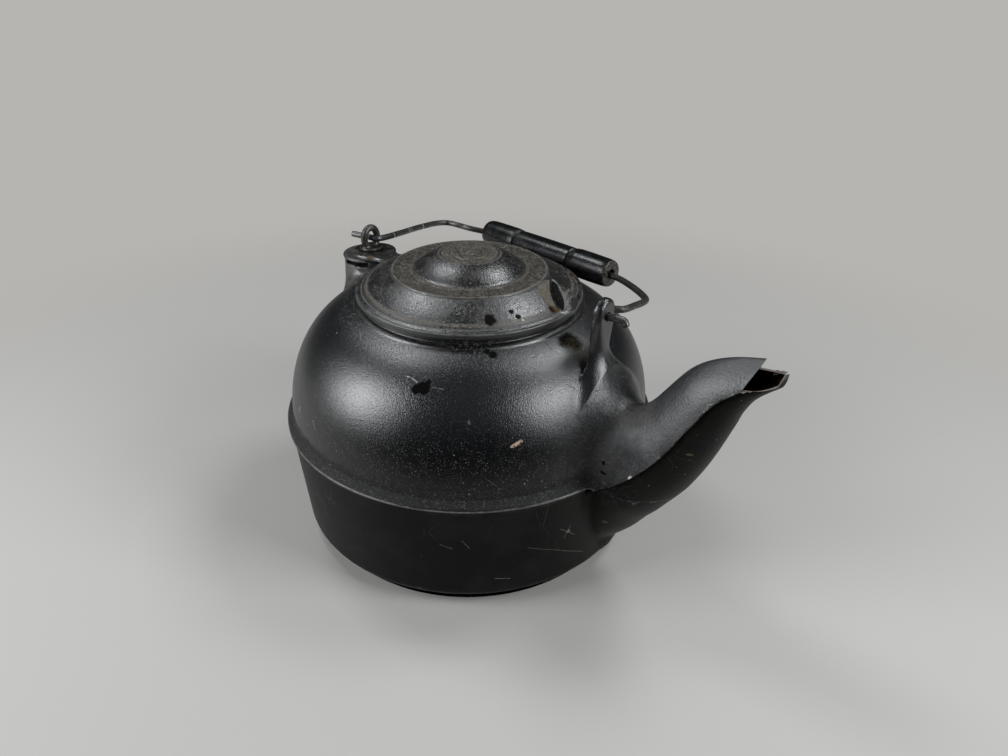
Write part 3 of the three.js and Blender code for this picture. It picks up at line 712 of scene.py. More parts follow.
dome = bezier([(DRUM_RADIUS, DRUM_HEIGHT), (28.9, 187.6), (BOSS_RADIUS, DOME_TOP)], 16)
slope = bezier([
    (FLANGE_RADIUS - 0.4, SLOPE_FOOT + 0.1),
    (FLANGE_RADIUS - 6.0, SLOPE_FOOT + 4.6),
    (SLOPE_RADIUS + 1.0, SLOPE_TOP - 0.95),
], 10)
lid_profile = rounded([
    (0, DOME_TOP - LID_WALL),
    (BOSS_RADIUS, DOME_TOP - LID_WALL, 3),
    (DRUM_RADIUS - LID_WALL, DRUM_HEIGHT - LID_WALL, 2),
    (SLOPE_RADIUS - LID_WALL / 2, SLOPE_TOP - LID_WALL, 2),
    (FLANGE_RADIUS - LID_WALL, SLOPE_FOOT - LID_WALL, 1),
    (FLANGE_RADIUS - LID_WALL, LID_SEAT, 0.6),
    (LID_RADIUS, LID_SEAT, 0.4),
    (LID_RADIUS, RIM_TOP, 0.7),
    (LID_RADIUS - 1.6, RIM_TOP + 0.3, 0.4),
    (FLANGE_RADIUS + 1.7, SLOPE_FOOT - 0.6, 0.4),
    (FLANGE_RADIUS + 0.8, SLOPE_FOOT - 1.1, 0.3),
    (FLANGE_RADIUS - 0.4, SLOPE_FOOT + 0.1, 0.5),
    *[tuple(p) for p in slope[1:]],
    (SLOPE_RADIUS + 0.6, SLOPE_TOP - 1.1, 0.2),
    (SLOPE_RADIUS + 0.2, SLOPE_TOP, 0.3),
    (SLOPE_RADIUS - 1.3, SLOPE_TOP, 0.3),
    (SLOPE_RADIUS - 1.9, SLOPE_TOP - 0.4, 0.4),
    (DRUM_RADIUS + 2.6, DRUM_HEIGHT - 0.15, 0.4),
    (DRUM_RADIUS + 1.6, DRUM_HEIGHT + 0.5, 0.4),
    (DRUM_RADIUS + 0.6, DRUM_HEIGHT + 0.3, 0.3),
    *[tuple(p) for p in dome[1:]],
    (BOSS_RADIUS - 0.7, DOME_TOP - 0.7, 0.3),
    (BOSS_RADIUS - 1.7, DOME_TOP + 0.35, 0.5),
    (BUTTON_RADIUS + 6.2, BOSS_TOP - 0.2, 0.3),
    (BUTTON_RADIUS + 5.5, BOSS_TOP - 0.45, 0.3),
    (BUTTON_RADIUS + 4.8, BOSS_TOP, 0.3),
    (BUTTON_RADIUS + 0.6, BOSS_TOP, 0.5),
    (BUTTON_RADIUS - 0.9, BUTTON_TOP, 0.6),
    (0, BUTTON_TOP),
])
lid_chart = Chart((0, 150), (90, 205), 0.4, lambda p: polygon_distance(p, lid_profile))


def lid_distance(p):
    """Distance to the lid's skin, without its ear and finger catch."""
    return lid_chart(np.hypot(p[:, 0], p[:, 1]), p[:, 2])


# The finger catch's own frame: origin on the middle of its arched edge, then along the edge,
# away from its opening, and out of the slope.
CATCH_ANGLE = math.radians(11)
SLOPE = math.atan2(SLOPE_TOP - SLOPE_FOOT, FLANGE_RADIUS - SLOPE_RADIUS)
CATCH_TURN = math.radians(-41)


def catch_frame():
    """The finger catch's origin, and its three axes as columns."""
    outward = np.array([math.cos(CATCH_ANGLE), math.sin(CATCH_ANGLE), 0])
    down = outward * math.cos(SLOPE) - np.array([0, 0, math.sin(SLOPE)])
    across = np.array([-math.sin(CATCH_ANGLE), math.cos(CATCH_ANGLE), 0])
    normal = np.cross(down, across)
    middle = outward * (FLANGE_RADIUS + SLOPE_RADIUS) / 2
    middle[2] = (SLOPE_FOOT + SLOPE_TOP) / 2
    origin = middle + 3.0 * down + 1.0 * across
    edge = math.cos(CATCH_TURN) * down + math.sin(CATCH_TURN) * across
    return origin, np.stack([edge, np.cross(normal, edge), normal], -1)


catch_origin, catch_axes = catch_frame()


def ellipsoid(local, centre, half):
    """About the distance to an ellipsoid."""
    scaled = (local - np.array(centre)) / np.array(half)
    ratio = np.linalg.norm(scaled, axis=1)
    slope = np.linalg.norm(scaled / np.array(half), axis=1) / np.maximum(ratio, 1e-6)
    return (ratio - 1) / np.maximum(slope, 1e-3)


HOOD_CENTRE, HOOD_HALF = (0, 4.0, -0.4), (14.0, 9.5, 4.4)


def hood_distance(p):
    """Distance to the finger catch's hood."""
    local = (p - catch_origin) @ catch_axes
    return ellipsoid(local, HOOD_CENTRE, HOOD_HALF)


def catch_hood():
    """The finger catch's hood, run into the lid's slope."""
    def distance(p):
        return fillet(lid_distance(p), hood_distance(p), 4.0)
    low, high = catch_origin - (24, 26, 11), catch_origin + (22, 26, 9)
    return surface_net("catch_hood", distance, low, high, 0.7)


def catch_scoop():
    """The hollow under the hood, cut with a soft rim except at the arched edge."""
    def distance(p):
        local = (p - catch_origin) @ catch_axes
        bowl = ellipsoid(local, (0.5, 0.0, 2.6), (12.8, 11.0, 5.6))
        hollow = -smooth_min(-bowl, 0.6 - local[:, 1] + 0.25 * local[:, 2], 0.8)
        outside = -smooth_min(lid_distance(p), hood_distance(p), 4.0)
        width = 0.3 + 2.2 * np.clip(-local[:, 1] / 5 - 0.3, 0, 1)
        return fillet(hollow, outside, width)
    low, high = catch_origin - (20, 22, 11), catch_origin + (18, 20, 9)
    return surface_net("catch_scoop", distance, low, high, 0.55)


def lid_ear():
    """The round ear that the lid swings on, run into the rim."""
    middle, half = (EAR_LOW + EAR_HIGH) / 2, (EAR_HIGH - EAR_LOW) / 2

    def distance(p):
        disc = np.hypot(p[:, 0] - EAR_X, p[:, 1]) - EAR_RADIUS
        web = np.maximum(np.abs(p[:, 1] + 2.0) - 8.5, np.abs(p[:, 0] + 74.0) - 8.0)
        ear = rounded_slab(smooth_min(disc, web, 5.0), np.abs(p[:, 2] - middle) - half, 1.0)
        return fillet(lid_distance(p), ear, 2.2)
    return surface_net("lid_ear", distance, (-110, -19, 164), (-60, 19, 173), 0.9)


def lid_casting():
    """The lid with its ear, its finger catch and the bolt's hole."""
    return combined(
        turned("lid_casting", spaced(lid_profile, 1.8), LID_SIDES),
        ("UNION", [lid_ear(), catch_hood()]),
        ("DIFFERENCE", [
            catch_scoop(),
            cylinder("lid_hole", BOLT_HOLE_RADIUS, (PIVOT_X, 0, 160), (PIVOT_X, 0, 176)),
        ]),
    )


# Eye bolt

def eye_bolt():
    """The forged eye with its collar and shank."""
    def distance(p):
        y, z = p[:, 1], p[:, 2] - BAIL_HEIGHT
        ratio = np.hypot(y / EYE_HALF_WIDTH, z / EYE_HALF_HEIGHT)
        slope = np.hypot(y / EYE_HALF_WIDTH**2, z / EYE_HALF_HEIGHT**2) / np.maximum(ratio, 1e-6)
        ring = np.hypot(p[:, 0] - PIVOT_X, (ratio - 1) / np.maximum(slope, 0.05)) - EYE_ROD
        radius = np.hypot(p[:, 0] - PIVOT_X, y)
        collar = rounded_slab(radius - COLLAR_RADIUS,
                              np.abs(p[:, 2] - (COLLAR_LOW + COLLAR_HIGH) / 2) - 1.0, 0.7)
        shank = np.maximum(radius - SHANK_RADIUS, np.maximum(SHANK_LOW - p[:, 2], p[:, 2] - COLLAR_HIGH))
        ring = np.maximum(ring, COLLAR_LOW + 0.5 - p[:, 2])
        return smooth_min(smooth_min(ring, collar, 1.6), shank, 0.4)
    low = (PIVOT_X - 10, -10, SHANK_LOW - 1)
    return surface_net("eye_bolt_forged", distance, low, (PIVOT_X + 10, 10, 190), 0.45)


# Bail and grip, laid out in the bail's own plane

def bail_point(x, rise, side=0.0):
    """A point of the bail's plane, drooped to the kettle's +Y side."""
    cosine, sine = math.cos(BAIL_DROOP), math.sin(BAIL_DROOP)
    return np.array([x, rise * cosine - side * sine, BAIL_HEIGHT + rise * sine + side * cosine])


SPAN, BAIL_RISE = PLATE_OUTER - PIVOT_X, 92.0
grip_start = np.array([PIVOT_X + 0.1704 * SPAN, BAIL_RISE, 0])
grip_end = np.array([PIVOT_X + 0.7744 * SPAN, 0.837 * BAIL_RISE, 0])
grip_middle = (grip_start + grip_end) / 2
grip_along = (grip_end - grip_start) / np.linalg.norm(grip_end - grip_start)
GRIP_START, GRIP_END = bail_point(*grip_start), bail_point(*grip_end)
GRIP_MIDDLE = (GRIP_START + GRIP_END) / 2
GRIP_ALONG = (GRIP_END - GRIP_START) / np.linalg.norm(GRIP_END - GRIP_START)
WIRE_DROP = 1.05
WIRE_ROUTE = [
    (-110.0, -4.2, 0), (-102.5, -2.1, 0), (-97.4, 0, 0), (-93.8, 0.35, 0), (-90.15, 2.1, 0),
    (-89.8, 8.2, 0), (-93.5, 27.0, 0), (-99.5, 53.5, 0), (-102.0, 76.0, 0), (-99.0, 84.0, 0),
    (-92.0, 86.0, 0), (-77.0, 86.5, 0),
    *[tuple(grip_middle + share * GRIP_LENGTH * grip_along - (0, 0, WIRE_DROP))
      for share in (-0.54, -0.5, -0.25, 0, 0.25, 0.5, 0.54)],
    (81.0, 65.5, 0), (97.5, 53.0, 0), (103.1, 46.0, 0), (104.0, 31.5, 0), (103.0, 18.4, 0),
    (98.05, 13.75, 0), (94.55, 8.0, 0), (94.55, 4.2, 0), (95.8, 1.2, 0), (98.75, 0, 0),
    (101.8, 0, 0), (105.55, 0, 0), (108.7, 1.05, 0), (112.9, 4.2, -1.05), (115.0, 4.2, -4.2),
]


def bail_wire():
    """The bent wire, with rounded tips."""
    route = spline(WIRE_ROUTE, WIRE_STEPS)
    path = np.array([bail_point(*point) for point in route])
    along = np.gradient(path, axis=0)
    along /= np.linalg.norm(along, axis=1)[:, None]
    side = np.cross(along[0], (0, 0, 1.0))
    arc = np.linspace(0, 2 * math.pi, WIRE_SIDES, endpoint=False)
    rings = []
    tip = WIRE_RADIUS * 0.5
    travelled = np.concatenate([[0], np.cumsum(np.linalg.norm(np.diff(path, axis=0), axis=1))])
    for point, direction, length in zip(path, along, travelled):
        side = side - direction * (side @ direction)
        side /= np.linalg.norm(side)
        other = np.cross(direction, side)
        end = min(length, travelled[-1] - length)
        radius = WIRE_RADIUS * math.sqrt(1 - max(0, 1 - end / tip) ** 2 * 0.75)
        rings.append(point + radius * (np.outer(np.cos(arc), side) + np.outer(np.sin(arc), other)))
    return capped("bail_wire_bent", rings)


def grip():
    """The turned grip, bored through, with a groove near each end of its waist."""
    half, groove = GRIP_LENGTH / 2, GRIP_GROOVE
    outline = [(GRIP_BORE, half, 0.5), (GRIP_RADIUS - 0.9, half, 1.6), (GRIP_RADIUS - 0.3, half - 3.5, 4)]
    outline += [tuple(p) for p in bezier([
        (GRIP_RADIUS - 0.2, half - 5), (GRIP_RADIUS + 0.1, (half + groove) / 2),
        (GRIP_RADIUS, groove + 5)], 8)]
    outline += [(GRIP_RADIUS - 0.35, groove + 1.5, 0.8), (GRIP_WAIST - 1.5, groove, 0.5),
                (GRIP_WAIST - 0.1, groove - 1.6, 0.8)]
    outline += [tuple(p) for p in bezier([
        (GRIP_WAIST, groove - 5), (GRIP_WAIST + 0.1, groove / 2), (GRIP_WAIST + 0.1, 0)], 6)]
    lower = [(radius, -along, *corner) for radius, along, *corner in reversed(outline[:-1])]
    profile = spaced(rounded([*outline, *lower, (GRIP_BORE, half)]), 1.5)[:-1][::-1]
    arc = np.linspace(0, 2 * math.pi, GRIP_SIDES, endpoint=False)
    rings = np.stack([np.outer(profile[:, 0], np.cos(arc)), np.outer(profile[:, 0], np.sin(arc)),
                      np.repeat(profile[:, 1:], GRIP_SIDES, axis=1)], -1)
    rows = len(rings)
    faces = grid_faces(rows, GRIP_SIDES)
    last = (rows - 1) * GRIP_SIDES
    for i in range(GRIP_SIDES):
        after = (i + 1) % GRIP_SIDES
        faces.append([last + i, last + after, after, i])
    turn = np.array(Vector((0, 0, 1)).rotation_difference(Vector(GRIP_ALONG)).to_matrix())
    points = rings.reshape(-1, 3) @ turn.T + GRIP_MIDDLE
    return mesh_object("grip_turned", points, faces)


# Materials

class Coats:
    """A material built up in coats, from places on the part in millimetres."""

    def __init__(self, name, color, roughness, specular=0.5, metallic=0.0, index=1.5):
        self.material = bpy.data.materials.new(name)
        self.material.use_nodes = True
        self.tree = self.material.node_tree
        self.shader = self.tree.nodes["Principled BSDF"]
        self.shader.inputs["Metallic"].default_value = metallic
        self.shader.inputs["IOR"].default_value = index
        self.color, self.roughness, self.specular, self.height = color, roughness, specular, None
        self.place = self.vector("SCALE", self.new("ShaderNodeTexCoord").outputs["Object"], scale=1 / MM)
        split = self.new("ShaderNodeSeparateXYZ")
        self.put(split.inputs[0], self.place)
        self.x, self.y, self.z = split.outputs
        flat = self.new("ShaderNodeCombineXYZ")
        self.put(flat.inputs[0], self.x)
        self.put(flat.inputs[1], self.y)
        self.flat = flat.outputs[0]
        self.radius = self.vector("LENGTH", self.flat)
        self.normal = self.new("ShaderNodeTexCoord").outputs["Normal"]

    def new(self, kind, **settings):
        node = self.tree.nodes.new(kind)
        for key, value in settings.items():
            setattr(node, key, value)
        return node

    def put(self, socket, value):
        """Links another node's output to a socket, or sets the socket's own value."""
        if isinstance(value, bpy.types.NodeSocket):
            self.tree.links.new(value, socket)
        elif isinstance(value, tuple) and socket.type == "RGBA":
            socket.default_value = (*value, 1)
        else:
            socket.default_value = value

    def vector(self, operation, a, b=None, scale=None):
        node = self.new("ShaderNodeVectorMath", operation=operation)
        self.put(node.inputs[0], a)
        if b is not None:
            self.put(node.inputs[1], b)
        if scale is not None:
            self.put(node.inputs["Scale"], scale)
        return node.outputs["Value" if operation in ("LENGTH", "DOT_PRODUCT", "DISTANCE") else "Vector"]

    def math(self, operation, *values, clamp=False):
        node = self.new("ShaderNodeMath", operation=operation, use_clamp=clamp)
        for socket, value in zip(node.inputs, values):
            self.put(socket, value)
        return node.outputs[0]

    def product(self, *values):
        """All the values multiplied together."""
        out = values[0]
        for value in values[1:]:
            out = self.math("MULTIPLY", out, value)
        return out

    def smooth(self, value, start, end):
        """Rises from 0 at start to 1 at end, or falls where end is the lower one."""
        node = self.new("ShaderNodeMapRange", interpolation_type="SMOOTHSTEP")
        self.put(node.inputs["Value"], value)
        self.put(node.inputs["From Min"], start)
        self.put(node.inputs["From Max"], end)
        return node.outputs["Result"]

    def between(self, value, low, high, soft):
        """Is 1 from low to high, and fades to 0 over a soft edge."""
        return self.product(self.smooth(value, low - soft, low + soft),
                            self.smooth(value, high + soft, high - soft))

    def inverse(self, mask):
        """A mask that is 1 where the given one is 0."""
        return self.math("SUBTRACT", 1.0, mask)

    def patches(self, size, low, high, detail=3.0, rough=0.7):
        """Rises from 0 to 1 where cloudy noise goes from low to high."""
        return self.smooth(self.noise(size, detail, rough), low, high)

    def noise(self, size, detail=3.0, rough=0.5, stretch=(1, 1, 1), twist=0.0, output="Fac"):
        """Cloudy noise round 0.5 with lumps of a size in millimetres."""
        node = self.new("ShaderNodeTexNoise")
        place = self.place if stretch == (1, 1, 1) else self.vector("MULTIPLY", self.place, stretch)
        self.put(node.inputs["Vector"], place)
        self.put(node.inputs["Scale"], 1 / size)
        self.put(node.inputs["Detail"], detail)
        self.put(node.inputs["Roughness"], rough)
        self.put(node.inputs["Distortion"], twist)
        return node.outputs[output]

    def specks(self, spacing, size, share):
        """Small spots of a size, in a share of the cells of a spacing."""
        node = self.new("ShaderNodeTexVoronoi")
        wander = self.vector("SCALE", self.noise(size * 2.5, 2.0, output="Color"), scale=size * 1.6)
        self.put(node.inputs["Vector"], self.vector("ADD", self.place, wander))
        self.put(node.inputs["Scale"], 1 / spacing)
        pick = self.new("ShaderNodeSeparateColor")
        self.put(pick.inputs[0], node.outputs["Color"])
        reach = size / spacing
        spot = self.smooth(node.outputs["Distance"], reach, reach * 0.45)
        picked = self.smooth(pick.outputs[0], share + 0.01, share - 0.01)
        return self.product(spot, picked, pick.outputs[1])

    def lines(self, size, width, stretch=(1, 1, 1), twist=0.6):
        """Thin wandering lines, as fine scratches."""
        noise = self.noise(size, 1.0, 0.4, stretch, twist)
        return self.smooth(self.math("ABSOLUTE", self.math("SUBTRACT", noise, 0.5)), width, width * 0.2)

    def near(self, place, radius, ragged=0.5, squash=(1, 1, 1), soft=0.3):
        """A spot round a place, with a ragged edge."""
        offset = self.vector("SUBTRACT", self.place, place)
        if squash != (1, 1, 1):
            offset = self.vector("MULTIPLY", offset, squash)
        away = self.vector("LENGTH", offset)
        cloud = self.noise(max(radius * 0.7, 0.5), 3.0, 0.6)
        wobble = self.math("MULTIPLY", self.math("SUBTRACT", cloud, 0.5), 2.4 * ragged * radius)
        return self.smooth(self.math("ADD", away, wobble), radius * (1 + soft), radius * (1 - soft))

    def scratch(self, start, end, width):
        """A straight scratch between two places, broken up a little."""
        start, end = Vector(start), Vector(end)
        along = end - start
        offset = self.vector("SUBTRACT", self.place, tuple(start))
        share = self.vector("DOT_PRODUCT", offset, tuple(along / along.length_squared))
        share = self.math("ADD", share, 0.0, clamp=True)
        foot = self.vector("SCALE", tuple(along), scale=share)
        gap = self.vector("SUBTRACT", offset, foot)
        through = self.vector("DOT_PRODUCT", gap, self.normal)
        beside = self.vector("SUBTRACT", gap, self.vector("SCALE", self.normal, scale=through))
        line = self.smooth(self.vector("LENGTH", beside), width, width * 0.35)
        return self.product(line, self.smooth(self.vector("LENGTH", gap), 5.0, 4.0),
                            self.smooth(self.noise(1.6, 2.0), 0.3, 0.5))

    def blend(self, mask, under, over, kind="FLOAT"):
        """What lies under where the mask is 0, and what goes over it where it is 1."""
        node = self.new("ShaderNodeMix", data_type=kind)
        first, second = (2, 3) if kind == "FLOAT" else (6, 7)
        self.put(node.inputs[0], mask)
        self.put(node.inputs[first], under)
        self.put(node.inputs[second], over)
        return node.outputs[0 if kind == "FLOAT" else 2]

    def coat(self, mask, color=None, roughness=None, specular=None, height=None):
        """Covers what is there where the mask, or each of some masks, is 1. A height in mm is added."""
        if isinstance(mask, tuple):
            mask = self.product(*mask)
        if color is not None:
            self.color = self.blend(mask, self.color, color, "RGBA")
        if roughness is not None:
            self.roughness = self.blend(mask, self.roughness, roughness)
        if specular is not None:
            self.specular = self.blend(mask, self.specular, specular)
        if height is not None:
            rise = self.math("MULTIPLY", mask, height)
            self.height = rise if self.height is None else self.math("ADD", self.height, rise)

    def done(self):
        """The finished material."""
        self.put(self.shader.inputs["Base Color"], self.color)
        self.put(self.shader.inputs["Roughness"], self.roughness)
        self.put(self.shader.inputs["Specular IOR Level"], self.specular)
        if self.height is not None:
            bump = self.new("ShaderNodeBump")
            bump.inputs["Strength"].default_value = 1.0
            bump.inputs["Distance"].default_value = MM
            self.put(bump.inputs["Height"], self.height)
            self.put(self.shader.inputs["Normal"], bump.outputs["Normal"])
        return self.material


IRON_INDEX = 1.7


def iron_material():
    """Old black cast iron: satin above the ledge, matte and greenish below it."""
    c = Coats("body_iron", (0.0022, 0.0025, 0.0032), 0.29, specular=0.85, index=IRON_INDEX)
    above = c.smooth(c.z, 84.2, 85.5)
    spout_part = c.smooth(c.x, 118.0, 128.0)

    # Cast skin
    c.coat(c.noise(4.0, 2.0, 0.6), height=0.09)
    c.coat(c.noise(1.2, 2.0, 0.65), height=0.12)
    c.coat(c.noise(0.6, 1.0, 0.6), height=0.09)
    c.coat(c.patches(34.0, 0.35, 0.7, 3.0, 0.5), roughness=0.33)
    c.coat(c.patches(1.4, 0.52, 0.68), color=(0.008, 0.0085, 0.0095), roughness=0.38)
    c.coat(c.patches(9.0, 0.5, 0.75, 4.0, 0.65), color=(0.006, 0.0064, 0.0074))

    # The spout's sandier skin
    sandy = c.product(above, c.smooth(c.x, 120.0, 136.0))
    c.coat(sandy, roughness=0.42, specular=1.0)
    c.coat((sandy, c.patches(1.1, 0.5, 0.62, 3.0, 0.75)), color=(0.03, 0.031, 0.033), roughness=0.5)
    c.coat((sandy, c.noise(1.4, 3.0, 0.7)), height=0.26)
    c.coat((sandy, c.specks(1.1, 0.36, 0.6)), color=(0.12, 0.12, 0.118), roughness=0.7)
    c.coat((sandy, c.specks(2.6, 0.6, 0.4)), color=DARK, specular=0.2)

    # Below the ledge and under the spout's seam
    under_seam = c.smooth(seam_side(c), -0.4, 0.1)
    low = c.math("MAXIMUM", c.smooth(c.z, 83.4, 82.6), c.product(under_seam, spout_part), clamp=True)
    c.coat(low, color=(0.0028, 0.0034, 0.0027), roughness=0.38, specular=0.06)
    c.coat((low, c.smooth(c.x, 108.0, 122.0)), color=(0.0095, 0.0086, 0.0062))
    c.coat((low, c.patches(26.0, 0.42, 0.65, 2.0, 0.5)), color=(0.0075, 0.0085, 0.0075), roughness=0.42)

    # The rough band over the ledge, and the worn line on its edge
    edge = c.math("ADD", c.z, c.math("MULTIPLY", c.noise(7.0, 4.0, 0.7), -7.0))
    band = c.product(c.smooth(c.z, 84.4, 85.2), c.smooth(edge, 93.0, 88.5), c.smooth(c.x, 136.0, 124.0))
    c.coat(band, color=(0.007, 0.007, 0.0075), roughness=0.6, specular=0.3)
    c.coat((band, c.noise(1.5, 4.0, 0.75)), height=0.55)
    c.coat((band, c.patches(2.2, 0.55, 0.7)), color=(0.06, 0.058, 0.055))
    ledge = c.product(c.smooth(c.radius, 124.3, 124.8), c.between(c.z, 83.7, 84.3, 0.2))
    worn = c.product(ledge, c.patches(9.0, 0.4, 0.56, 4.0, 0.75))
    c.coat(worn, color=(0.20, 0.19, 0.165), roughness=0.5)
    # Painted highlight: a faint paler line on the wall just under the ledge.
    c.coat((c.between(c.z, 79.6, 81.2, 0.8), c.patches(20.0, 0.45, 0.6, rough=0.5), low),
           color=(0.02, 0.0205, 0.019))

    # Pale dust specks, mostly on the lower half of the globe and towards the spout
    front = c.smooth(c.vector("DOT_PRODUCT", c.flat, (0.5, -0.86, 0)), 30.0, 110.0)
    dusty = c.product(above, c.smooth(c.z, 140.0, 112.0), front, c.inverse(low))
    c.coat(dusty, specular=0.26)
    drift = c.patches(8.0, 0.36, 0.62, 3.0, 0.6)
    c.coat((c.specks(1.0, 0.4, 0.8), dusty, drift), color=(0.15, 0.145, 0.135), roughness=0.8)
    c.coat((c.specks(1.8, 0.36, 0.7), dusty), color=(0.22, 0.21, 0.19), roughness=0.8)
    c.coat((c.specks(5.0, 0.6, 0.5), dusty), color=(0.36, 0.34, 0.30), roughness=0.8)
    c.coat((c.specks(3.6, 0.4, 0.6), above), color=(0.17, 0.165, 0.155), roughness=0.8)
    c.coat((c.specks(9.0, 0.6, 0.5), above), color=(0.26, 0.25, 0.23), roughness=0.8)
    c.coat((c.specks(7.0, 0.5, 0.5), low), color=(0.09, 0.085, 0.065), roughness=0.8)

    # Dirt in the valley between the globe and the spout, painted light on the spout's root, and painted
    # shade between the ear and the lid
    # Painted light: a lighter coat over the spout's root, mottled like dust.
    root = c.near((145.0, -29.0, 115.0), 15.0, 0.6, (1, 1, 0.7), 0.4)
    c.coat((root, sandy, c.patches(1.3, 0.32, 0.6, 3.0, 0.75), c.inverse(low)),
           color=(0.10, 0.102, 0.105), roughness=0.55)
    valley = c.near((127.0, -27.0, 103.0), 17.0, 0.8, (0.9, 1, 0.6), 0.5)
    c.coat(valley, color=(0.0075, 0.0072, 0.0078), roughness=0.66)
    c.coat((valley, c.noise(2.6, 4.0, 0.7)), height=0.5)
    c.coat((valley, c.lines(5.0, 0.02)), color=(0.05, 0.048, 0.046))
    saddle = c.near((135.0, -6.0, 131.5), 9.0, 0.6, (0.7, 0.8, 1), 0.55)
    c.coat((saddle, c.patches(2.4, 0.32, 0.6)), color=(0.034, 0.027, 0.019), roughness=0.75, height=0.12)
    # Painted shade: a near-black patch in the hollow between the ear and the lid; the brown patch after
    # it is rust.
    ear_painted_shade = c.near((82.4, -3.4, 156.7), 7.0, 0.6, (1, 1, 1), 0.5)
    c.coat(ear_painted_shade, color=(0.002, 0.0018, 0.0015), roughness=0.8, specular=0.05)
    c.coat((c.near((90.0, -1.5, 153.0), 8.5, 0.7, (1, 1, 1), 0.5), c.patches(2.0, 0.4, 0.56)),
           color=(0.075, 0.058, 0.03), roughness=0.8)

    # A lighter coat on the post, which is painted light mottled like dust, and a pale film about the foot
    # of the neck
    # Painted light: the post's lighter coat stands for light falling on it, mottled like dust.
    post = c.product(c.smooth(c.x, -78.0, -86.0), c.smooth(c.z, 138.0, 150.0))
    c.coat((post, c.patches(5.0, 0.34, 0.6, 4.0, 0.7)), color=(0.05, 0.048, 0.042), roughness=0.55)
    neck = c.product(c.smooth(c.radius, 90.0, 78.0), c.between(c.z, 152.0, 166.0, 3.0))
    c.coat((neck, c.patches(1.4, 0.56, 0.64)), color=(0.06, 0.055, 0.045), roughness=0.7)

    # Marks seen in the photograph
    for place, radius, squash, color, roughness in IRON_SPOTS:
        c.coat(c.near(place, radius, 0.55, squash), color=color, roughness=roughness, specular=0.04)
    for start, end, width, color in IRON_SCRATCHES:
        c.coat(c.scratch(start, end, width), color=color, roughness=0.6, specular=0.3)
    # Painted shadow: a near-black strip just under the spout's seam, below the overhang of its upper
    # half.
    shade = c.product(c.smooth(seam_side(c), 0.2, 0.6), c.smooth(seam_side(c), 2.6, 1.2), spout_part)
    c.coat(shade, color=DARK, specular=0.05)
    # Painted shade: the foot, under the overhanging wall, is coloured near black with no reflection; a
    # paler broken line runs on the wall's corner just above it.
    c.coat(c.smooth(c.z, 11.2, 10.6), color=(0.0008, 0.0008, 0.0008), roughness=0.9, specular=0.0)
    c.coat((c.between(c.z, 12.0, 13.6, 0.5), c.patches(9.0, 0.4, 0.6)), color=(0.03, 0.031, 0.03))
    c.coat((c.lines(26.0, 0.0035, (1, 1, 0.5)), c.patches(30.0, 0.5, 0.62, rough=0.5)),
           color=(0.035, 0.035, 0.034))

    # Worn rim of the mouth, painted shade with rust inside it, and a painted highlight on the hood's cut
    # edge
    up = c.vector("DOT_PRODUCT", c.normal, (0, 0, 1))
    mouth = c.smooth(c.x, 189.6, 190.6)
    inside_mouth = c.product(mouth, mouth_side(c))
    # Painted shade: the inside of the mouth is near black with almost no reflection, with rust patches
    # over it.
    c.coat(inside_mouth, color=(0.004, 0.0022, 0.0016), roughness=0.9, specular=0.03)
    c.coat((inside_mouth, c.patches(2.0, 0.58, 0.66)), color=(0.03, 0.013, 0.007))
    rim = c.product(mouth, c.smooth(up, 0.72, 0.86), c.smooth(c.math("ABSOLUTE", mouth_rim(c)), 0.4, 0.2))
    c.coat((rim, c.patches(1.6, 0.2, 0.4)), color=(0.24, 0.19, 0.17), roughness=0.8, specular=0.5)
    # Painted highlight: a pale broken line along the hood's cut edge.
    cut_face = c.smooth(c.math("ABSOLUTE", mouth_plane(c)), 0.35, 0.15)
    hood_edge = c.product(cut_face, c.smooth(c.z, 170.0, 171.0), c.smooth(c.x, 189.5, 190.3))
    c.coat((hood_edge, c.patches(2.0, 0.36, 0.5)), color=(0.16, 0.155, 0.145),
           roughness=0.6, specular=0.5)

    # Inside of the pot
    outward = c.vector("DOT_PRODUCT", c.vector("NORMALIZE", c.flat), c.normal)
    inner = c.product(c.smooth(outward, -0.02, -0.12), c.smooth(c.z, 161.0, 160.0),
                      c.smooth(c.x, 97.5, 96.5))
    floor_side = c.product(c.smooth(up, 0.7, 0.9), c.smooth(c.z, 14.0, 12.5))
    inner = c.math("MAXIMUM", inner, floor_side, clamp=True)
    c.coat(inner, color=(0.022, 0.013, 0.008), roughness=0.85)
    c.coat((inner, c.patches(12.0, 0.45, 0.7, 5.0, 0.7)), color=(0.075, 0.034, 0.014))
    return c.done()


def height_curve(c, places, base, span):
    """A height read from a curve of x and z."""
    curve = c.new("ShaderNodeFloatCurve")
    points = curve.mapping.curves[0]
    low, high = places[0][0], places[-1][0]
    while len(points.points) < len(places):
        points.points.new(0.5, 0.5)
    for point, (x, z) in zip(points.points, places):
        point.location = ((x - low) / (high - low), (z - base) / span)
    curve.mapping.update()
    share = c.math("DIVIDE", c.math("SUBTRACT", c.x, low), high - low, clamp=True)
    c.put(curve.inputs["Value"], share)
    return c.math("MULTIPLY_ADD", curve.outputs[0], span, base)


def mouth_rim(c):
    """Height over the trough's rim."""
    level = c.math("SUBTRACT", c.z, c.math("MULTIPLY", c.y, MOUTH_TILT))
    return c.math("SUBTRACT", level, height_curve(c, MOUTH_RIM, 160.0, 30.0))


def mouth_plane(c):
    """Distance in front of the hood's cut edge."""
    corner = np.array(MOUTH_CORNER)
    along = (MOUTH_PEAK - corner) / np.linalg.norm(MOUTH_PEAK - corner)
    offset = c.vector("SUBTRACT", c.place, (corner[0], 0.0, corner[1]))
    return c.vector("DOT_PRODUCT", offset, (along[1], along[0] * MOUTH_TILT, -along[0]))


